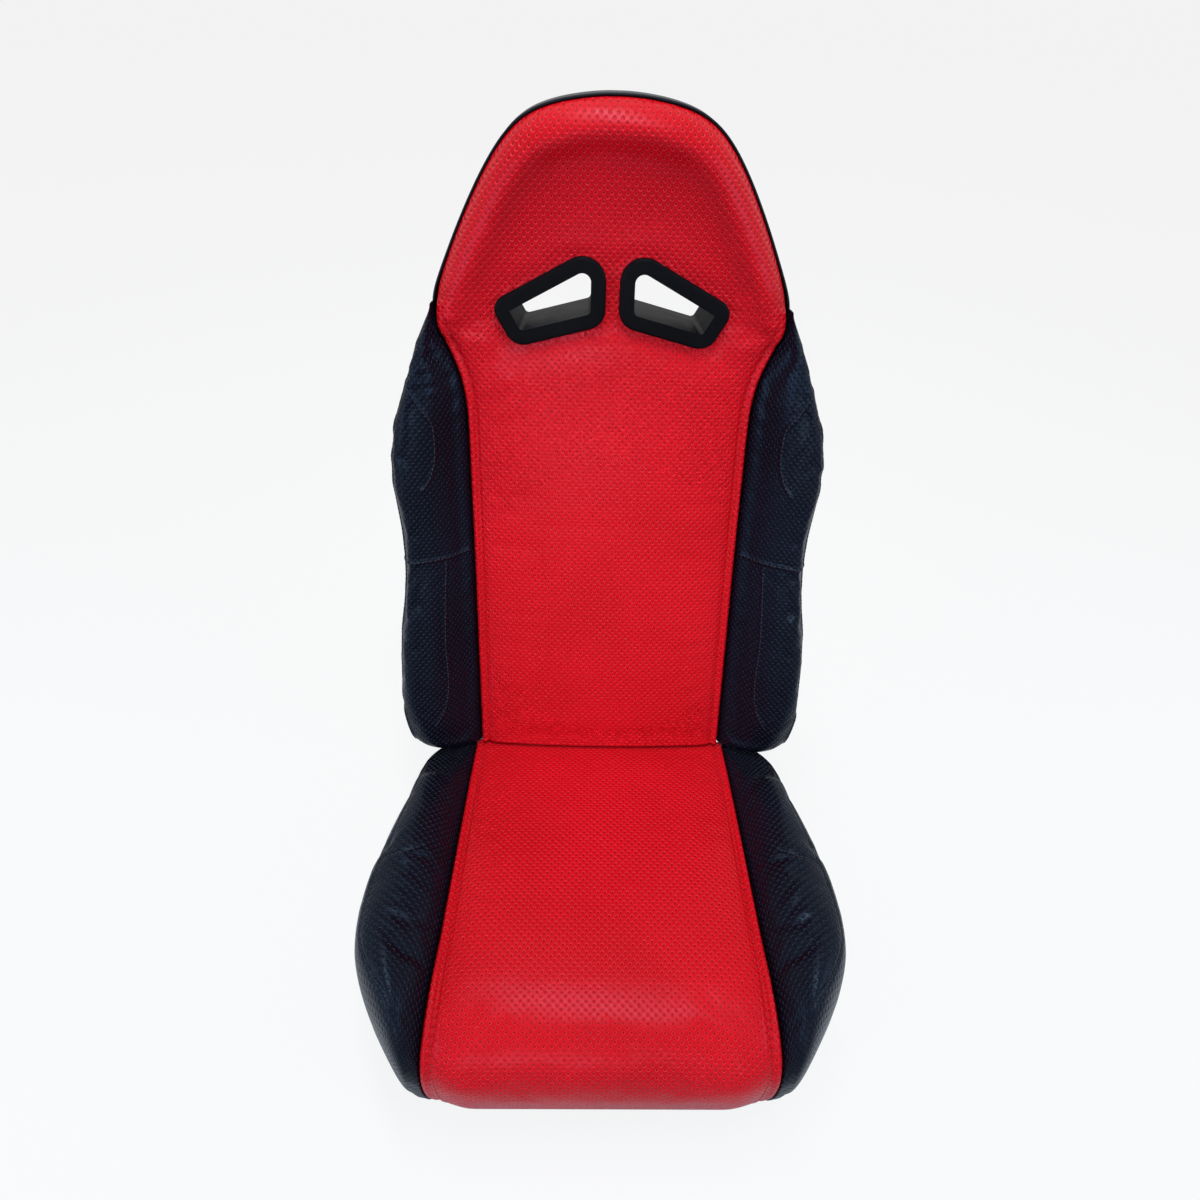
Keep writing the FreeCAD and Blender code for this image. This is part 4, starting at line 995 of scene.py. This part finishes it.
def weighted(tree, a, share_a, b, share_b):
    return calc(tree, "ADD", calc(tree, "MULTIPLY", a, share_a), calc(tree, "MULTIPLY", b, share_b))


# A value between 0 and 1 spread evenly round a middle
def around(tree, middle, value, spread):
    return calc(tree, "ADD", calc(tree, "MULTIPLY", value, spread), middle - spread / 2)


def ramp(tree, value, low, high):
    inputs = {"Value": value, "From Min": low, "From Max": high}
    return add(tree, "ShaderNodeMapRange", inputs, interpolation_type="SMOOTHSTEP").outputs["Result"]


def mix_colour(tree, factor, a, b):
    a, b = [v + (1,) if isinstance(v, tuple) else v for v in (a, b)]
    return add(tree, "ShaderNodeMix", {0: factor, 6: a, 7: b}, data_type="RGBA").outputs[2]


def place_of(tree):
    return add(tree, "ShaderNodeTexCoord").outputs["Object"]


def noise(tree, scale, detail=2.0, rough=0.5, where=None):
    inputs = {"Vector": where or place_of(tree), "Scale": scale, "Detail": detail, "Roughness": rough}
    return add(tree, "ShaderNodeTexNoise", inputs).outputs["Fac"]


def cells(tree, scale):
    return add(tree, "ShaderNodeTexVoronoi", {"Vector": place_of(tree), "Scale": scale}).outputs["Distance"]


def wave(tree, where, scale, distortion, direction):
    inputs = {"Vector": where, "Scale": scale, "Distortion": distortion}
    return add(tree, "ShaderNodeTexWave", inputs, bands_direction=direction).outputs["Fac"]


def bump(tree, height, distance, strength, under=None):
    inputs = {"Height": height, "Distance": distance, "Strength": strength}
    if under is not None:
        inputs["Normal"] = under
    return add(tree, "ShaderNodeBump", inputs).outputs[0]


def cover_uv(tree):
    return add(tree, "ShaderNodeUVMap", uv_map="cover").outputs[0]


# Ends a material with its shader and output
def finished(mat, colour, rough, normal, more=None):
    inputs = {"Base Color": colour, "Roughness": rough, "Normal": normal, **(more or {})}
    shader = add(mat.node_tree, "ShaderNodeBsdfPrincipled", inputs)
    add(mat.node_tree, "ShaderNodeOutputMaterial", {"Surface": shader.outputs[0]})
    return mat


# Spacing of the cover's holes along a row, in metres
HOLE_PITCH = 0.0077


# Distance to the nearest hole of a diamond grid; the half cell added puts each hole in a cell's middle
def hole_distance(tree):
    u, v = add(tree, "ShaderNodeSeparateXYZ", {0: cover_uv(tree)}).outputs[:2]
    squares = []
    for operation in ("ADD", "SUBTRACT"):
        row = calc(tree, "DIVIDE", calc(tree, operation, u, v), HOLE_PITCH)
        offset = calc(tree, "SUBTRACT", calc(tree, "FRACT", calc(tree, "ADD", row, 100.5)), 0.5)
        squares.append(calc(tree, "MULTIPLY", offset, offset))
    far = calc(tree, "SQRT", calc(tree, "ADD", *squares))
    return calc(tree, "MULTIPLY", far, HOLE_PITCH / math.sqrt(2))


# Perforated vinyl: leather grain, slow changes of colour and gloss, and holes with a soft rim; the lighter
# ring round each hole is a painted highlight, the glint of the dimple's rim
def vinyl(name, colour, deep, rough, tint, level, hole=None, rim=None):
    mat, tree = new_material(name)
    body = mix_colour(tree, ramp(tree, noise(tree, 9.0, 3.0), 0.3, 0.7), colour, deep)
    skin = weighted(tree, cells(tree, 620.0), 0.55, noise(tree, 1500.0, 2.0), 0.45)
    normal = bump(tree, skin, 0.00028, 0.55)
    if hole:
        far = hole_distance(tree)
        normal = bump(tree, ramp(tree, far, 0.0006, 0.0022), 0.0010, 0.9, normal)
        # lighter ring round each hole: a painted highlight standing in for the glint on the dimples' rims,
        # not the vinyl's own colour
        lip = calc(tree, "MULTIPLY", ramp(tree, far, 0.0009, 0.0014), ramp(tree, far, 0.0021, 0.0016))
        body = mix_colour(tree, lip, body, rim)
        body = mix_colour(tree, ramp(tree, far, 0.0004, 0.0010), hole, body)
    gloss = {"Specular IOR Level": level, "Specular Tint": tint + (1,)}
    return finished(mat, body, around(tree, rough, noise(tree, 70.0, 3.0), 0.06), normal, gloss)


def plastic(name, colour, rough, grain_scale, depth, level=0.4):
    mat, tree = new_material(name)
    dark = tuple(c * 0.78 for c in colour)
    body = mix_colour(tree, ramp(tree, noise(tree, 14.0, 2.0), 0.3, 0.7), colour, dark)
    texture = weighted(tree, cells(tree, grain_scale), 0.6, noise(tree, grain_scale * 2), 0.4)
    gloss = around(tree, rough, noise(tree, 60.0, 3.0), 0.12)
    return finished(mat, body, gloss, bump(tree, texture, depth, 0.6), {"Specular IOR Level": level})


# Metal with a finish: orange-peel powder coat, or zinc with blotches and fine scratches
def metal(name, colour, worn, rough, metallic, peel, brushed=0.0):
    mat, tree = new_material(name)
    blot = noise(tree, 160.0, 3.0, 0.6)
    wear = ramp(tree, weighted(tree, noise(tree, 22.0, 4.0, 0.6), 0.7, blot, 0.3), 0.42, 0.66)
    inputs = {"Vector": place_of(tree), "Scale": (900.0, 40.0, 900.0)}
    stretch = add(tree, "ShaderNodeMapping", inputs).outputs[0]
    height = weighted(tree, noise(tree, 420.0, 1.0), peel, noise(tree, 1.0, 2.0, 0.5, stretch), brushed)
    return finished(mat, mix_colour(tree, wear, colour, worn), around(tree, rough, blot, 0.22),
                    bump(tree, height, 0.0002, 0.5), {"Metallic": metallic})


def felt_material():
    mat, tree = new_material("felt")
    clumps = noise(tree, 60.0, 3.0)
    fibres = calc(tree, "ADD", noise(tree, 900.0, 5.0, 0.75), clumps)
    body = mix_colour(tree, ramp(tree, clumps, 0.3, 0.7), (0.10, 0.10, 0.11), (0.17, 0.165, 0.16))
    body = mix_colour(tree, ramp(tree, noise(tree, 420.0, 2.0), 0.62, 0.7), body, (0.32, 0.30, 0.28))
    return finished(mat, body, 0.95, bump(tree, fibres, 0.0008, 0.8), {"Sheen Weight": 0.3})


def webbing_material():
    mat, tree = new_material("webbing")
    uv = cover_uv(tree)
    weave = calc(tree, "MULTIPLY", wave(tree, uv, 190.0, 0.6, "X"), wave(tree, uv, 120.0, 0.4, "Y"))
    body = mix_colour(tree, weave, (0.012, 0.012, 0.014), (0.05, 0.05, 0.055))
    return finished(mat, body, 0.8, bump(tree, weave, 0.0006, 0.8))


def thread_material(name, colour, dark):
    mat, tree = new_material(name)
    twist = wave(tree, place_of(tree), 900.0, 0.0, "DIAGONAL")
    return finished(mat, mix_colour(tree, twist, colour, dark), 0.6, bump(tree, twist, 0.0001, 0.6))


def put_material(ob, mat):
    ob.data.materials.clear()
    ob.data.materials.append(mat)


# The rim colours below are painted highlights: lighter rings round the holes, pinkish on the red and bluish
# on the black, for the dimples' glint
RED = vinyl("red_perforated_vinyl", (0.66, 0.0040, 0.011), (0.57, 0.0032, 0.008), 0.25,
            (0.95, 0.74, 1.0), 0.11, hole=(0.30, 0.002, 0.004), rim=(0.72, 0.020, 0.030))
BLACK = vinyl("black_perforated_vinyl", (0.0036, 0.0040, 0.0090), (0.0022, 0.0022, 0.0048), 0.27,
              (0.46, 0.70, 1.0), 0.14, hole=(0.001, 0.001, 0.002), rim=(0.0110, 0.0120, 0.0240))
PLAIN_BLACK = vinyl("black_plain_vinyl", (0.0050, 0.0056, 0.0090), (0.0036, 0.0040, 0.0066), 0.46,
                    (0.80, 0.90, 1.0), 0.16)
BEZEL = plastic("moulded_black_plastic", (0.0036, 0.0036, 0.0052), 0.42, 1100.0, 0.0001, 0.045)
NYLON = plastic("natural_nylon", (0.55, 0.53, 0.47), 0.42, 700.0, 0.00006)
RUBBER = plastic("grip_rubber", (0.013, 0.013, 0.014), 0.72, 520.0, 0.0004)
POWDER = metal("powder_coated_steel", (0.012, 0.012, 0.013), (0.02, 0.02, 0.021), 0.42, 0.0, 1.0)
ZINC = metal("zinc_plated_steel", (0.56, 0.55, 0.50), (0.42, 0.42, 0.40), 0.36, 1.0, 0.1, 0.8)
SPRING = metal("spring_steel", (0.10, 0.105, 0.115), (0.17, 0.165, 0.16), 0.34, 1.0, 0.2, 0.6)
FELT = felt_material()
WEBBING = webbing_material()
RED_THREAD = thread_material("red_thread", (0.42, 0.006, 0.012), (0.20, 0.003, 0.006))
BLACK_THREAD = thread_material("black_thread", (0.02, 0.022, 0.032), (0.008, 0.009, 0.014))

NODE_MATERIALS = [
    (ZINC, "lower_rail_left lower_rail_right upper_rail_left upper_rail_right saddle_bolts saddle_nuts "
           "spring_clips bracket_bolts bracket_nuts latch_plate_left latch_plate_right bezel_screws "
           "release_pivots"),
    (POWDER, "frame_saddles base_frame base_cross_tubes back_frame back_cross_tubes side_bracket_left "
             "side_bracket_right release_bar"),
    (BEZEL, "harness_bezel_front_left harness_bezel_front_right harness_bezel_rear_left "
            "harness_bezel_rear_right cover_rivets"),
    (NYLON, "glide_shoes_left glide_shoes_right"),
    (SPRING, "seat_springs return_springs"),
    (RUBBER, "release_grip")]

for material, names in NODE_MATERIALS:
    for node in names.split():
        put_material(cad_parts[node], material)

# The soft pieces
SIDES = ((-1, "left"), (1, "right"))
back_panel = build_back_panel()
base_panel = build_base_panel()
cover = build_rear_cover()
finish_cover(cover)
felt = build_felt()
straps = build_straps()
bolsters = {}
for side, word in SIDES:
    bolsters["back_side_" + word] = build_back_bolster(side, "back_side_" + word)
    bolsters["base_side_" + word] = build_base_bolster(side, "base_side_" + word)
put_material(back_panel, RED)
put_material(base_panel, RED)
put_material(cover, PLAIN_BLACK)
put_material(felt, FELT)
put_material(straps, WEBBING)
for piece in bolsters.values():
    put_material(piece, BLACK)

# Sewn lines on the bolsters
GROOVE_DEPTH = 1.2 * MM
GROOVE_WIDTH = 3.4 * MM
# Points looked for along a short line, along the rim and across the base's bolster
SHORT_LINE = 110
RIM_LINE = 240
CROSS_LINE = 60
# How far in from an edge its stitches run
RIM_STITCH = 8.5
PANEL_STITCH = 9.5
# Height from which the base's lines are looked down at, above everything
LOOK_DOWN = 400.0
# Lines of a back bolster, by x and station: round the shoulder, across the waist, and down the hip
BACK_SEAMS = [[(208, 454), (197, 434), (187, 417), (185, 397), (186, 376), (191, 357), (200, 342)],
              [(231, 257), (210, 258), (196, 260), (175, 261), (157, 263)],
              [(181, 254), (184, 205), (186, 157), (185, 115), (186, 90), (191, 67), (202, 47)]]


# Presses lines into a piece and gives them back as they then lie on it
def sew(piece, lines):
    tree = surface_of(piece)
    for origins, aims in lines:
        engrave(piece, trace(tree, origins, aims), GROOVE_DEPTH, GROOVE_WIDTH)
    tree = surface_of(piece)
    return [trace(tree, origins, aims) for origins, aims in lines]


def looked_down(x, y):
    return np.stack([x, y, np.full(len(x), LOOK_DOWN)], 1) * MM, [(0.0, 0.0, -1.0)] * len(x)


black_lines = []
for side, word in SIDES:
    seams = [back_line([(side * x, s) for x, s in seam], SHORT_LINE) for seam in BACK_SEAMS]
    rim = [(side * (float(outline_half(s)) - RIM_STITCH), s) for s in np.linspace(16, 492, 24)]
    seams.append(back_line(rim, RIM_LINE))
    black_lines += sew(bolsters["back_side_" + word], seams)
    y = np.linspace(90, -214, RIM_LINE)
    under_the_back = 26 * smooth((60 - CREASE_Y + y) / 60) ** 1.3
    at_the_toe = np.interp(y, [-214, -190, -150], [20, 9, 0])
    x = BASE_HALF_WIDTH - 9.5 + WAIST(CREASE_Y - y) - under_the_back - at_the_toe
    across = curve_through([(side * 232, -62), (side * 214, -60), (side * 192, -50)], CROSS_LINE)
    seams = [looked_down(side * x, y), looked_down(across[:, 0], across[:, 1])]
    black_lines += sew(bolsters["base_side_" + word], seams)
bolster_stitches = stitches("bolster_stitches", black_lines)
put_material(bolster_stitches, BLACK_THREAD)

# Top stitching along the red panels
red_lines = []
tree = surface_of(back_panel)
for side in (-1, 1):
    points = [(side * (float(panel_half(s)) - PANEL_STITCH), s) for s in np.linspace(8, 505, 26)]
    red_lines.append(trace(tree, *back_line(points, 260)))
tree = surface_of(base_panel)
loop, outer = base_profile(20, 5, 0, BASE_REAR_Y - 20, BASE_UNDERSIDE, True, n_top=120, n_roll=60, n_tuck=30)
path = loop[:outer]
tangent = np.gradient(path, axis=0)
tangent /= np.linalg.norm(tangent, axis=1)[:, None]
outward = np.stack([np.zeros(outer), tangent[:, 1], -tangent[:, 0]], 1)
half = np.interp(lengths(path), PANEL_AT, STITCH_WIDTH) - PANEL_STITCH
for side in (-1, 1):
    origins = (np.column_stack([side * half, path]) + outward * 40) * MM
    red_lines.append(trace(tree, origins, -outward))
panel_stitches = stitches("panel_stitches", red_lines)
put_material(panel_stitches, RED_THREAD)

# What each piece stands for and rides on
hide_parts("back_center_pad")
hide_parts("base_center_pad")
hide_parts("rear_cover")
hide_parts("spring_felt")
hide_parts("back_straps")
for word in ("left", "right"):
    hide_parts("back_bolster_" + word)
    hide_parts("base_bolster_" + word)
soft = [back_panel, base_panel] + list(bolsters.values())
for piece in soft + [cover, felt, straps, bolster_stitches, panel_stitches]:
    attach(piece, "seat")


# Floor, light and camera
def floor_material():
    mat, tree = new_material("pale_floor")
    matt = add(tree, "ShaderNodeBsdfDiffuse", {"Color": (0.72, 0.72, 0.72, 1)})
    glow = add(tree, "ShaderNodeEmission", {"Color": (1, 1, 1, 1), "Strength": 1.0})
    light_path = add(tree, "ShaderNodeLightPath")
    seen = calc(tree, "MULTIPLY", light_path.outputs["Is Camera Ray"], 0.86)
    mixed = add(tree, "ShaderNodeMixShader", {0: seen, 1: matt.outputs[0], 2: glow.outputs[0]})
    add(tree, "ShaderNodeOutputMaterial", {"Surface": mixed.outputs[0]})
    return mat


# Half the floor's side, and how far it lies below the rails, in metres
FLOOR = 40
FLOOR_DROP = 0.0004
corners = [(-FLOOR, -FLOOR, 0), (FLOOR, -FLOOR, 0), (FLOOR, FLOOR, 0), (-FLOOR, FLOOR, 0)]
floor = mesh_object("floor", corners, [(0, 1, 2, 3)])
floor.location.z = -FLOOR_DROP
put_material(floor, floor_material())

scene = bpy.context.scene
world = bpy.data.worlds.new("studio")
scene.world = world
world.use_nodes = True
tree = world.node_tree
tree.nodes.clear()
light_path = add(tree, "ShaderNodeLightPath")
seen = calc(tree, "MAXIMUM", light_path.outputs["Is Camera Ray"], light_path.outputs["Is Transmission Ray"])
seen = calc(tree, "MAXIMUM", seen, light_path.outputs["Is Glossy Ray"])
strength = add(tree, "ShaderNodeMapRange", {"Value": seen, "To Min": 0.30, "To Max": 1.0}).outputs["Result"]
sky = add(tree, "ShaderNodeBackground", {"Color": (1, 1, 1, 1), "Strength": strength})
add(tree, "ShaderNodeOutputWorld", {"Surface": sky.outputs[0]})


def softbox(name, place, aim, size, power, colour, spread=180):
    data = bpy.data.lights.new(name, "AREA")
    data.color = colour
    data.spread = math.radians(spread)
    data.shape = "RECTANGLE"
    data.size, data.size_y = size
    data.energy = power
    ob = bpy.data.objects.new(name, data)
    scene.collection.objects.link(ob)
    ob.location = place
    ob.rotation_euler = (Vector(aim) - Vector(place)).to_track_quat("-Z", "Y").to_euler()


softbox("overhead", (0.05, 0.02, 2.6), (0, 0.0, 0.4), (1.5, 0.3), 32, (0.96, 0.98, 1.0))
softbox("front", (-0.25, -1.9, 1.25), (0, 0.12, 0.36), (0.6, 0.45), 0.5, (1.0, 1.0, 1.0), 27)
softbox("right", (1.7, -0.6, 1.35), (0, -0.05, 0.3), (1.1, 0.9), 15, (0.46, 0.72, 1.0))
softbox("left", (-1.7, -0.85, 1.0), (0, 0, 0.4), (1.3, 1.1), 18, (0.46, 0.72, 1.0))

# The camera, from the photograph's perspective
FOCAL_PIXELS = 780.0
PICTURE_PIXELS = 1200.0
camera_data = bpy.data.cameras.new("camera")
camera_data.sensor_width = 36.0
camera_data.lens = camera_data.sensor_width * FOCAL_PIXELS / PICTURE_PIXELS
camera_data.clip_start = 0.01
camera = bpy.data.objects.new("camera", camera_data)
scene.collection.objects.link(camera)
pitch, yaw, roll = [math.radians(v) for v in (41.7, -1.58, 2.03)]
turn = Matrix.Rotation(yaw, 4, "Z") @ Matrix.Rotation(math.pi / 2 - pitch, 4, "X")
turn = turn @ Matrix.Rotation(roll, 4, "Z")
camera.matrix_world = Matrix.Translation((-0.0238, -0.5002, 0.9511)) @ turn
scene.camera = camera

scene.view_settings.view_transform = "Standard"
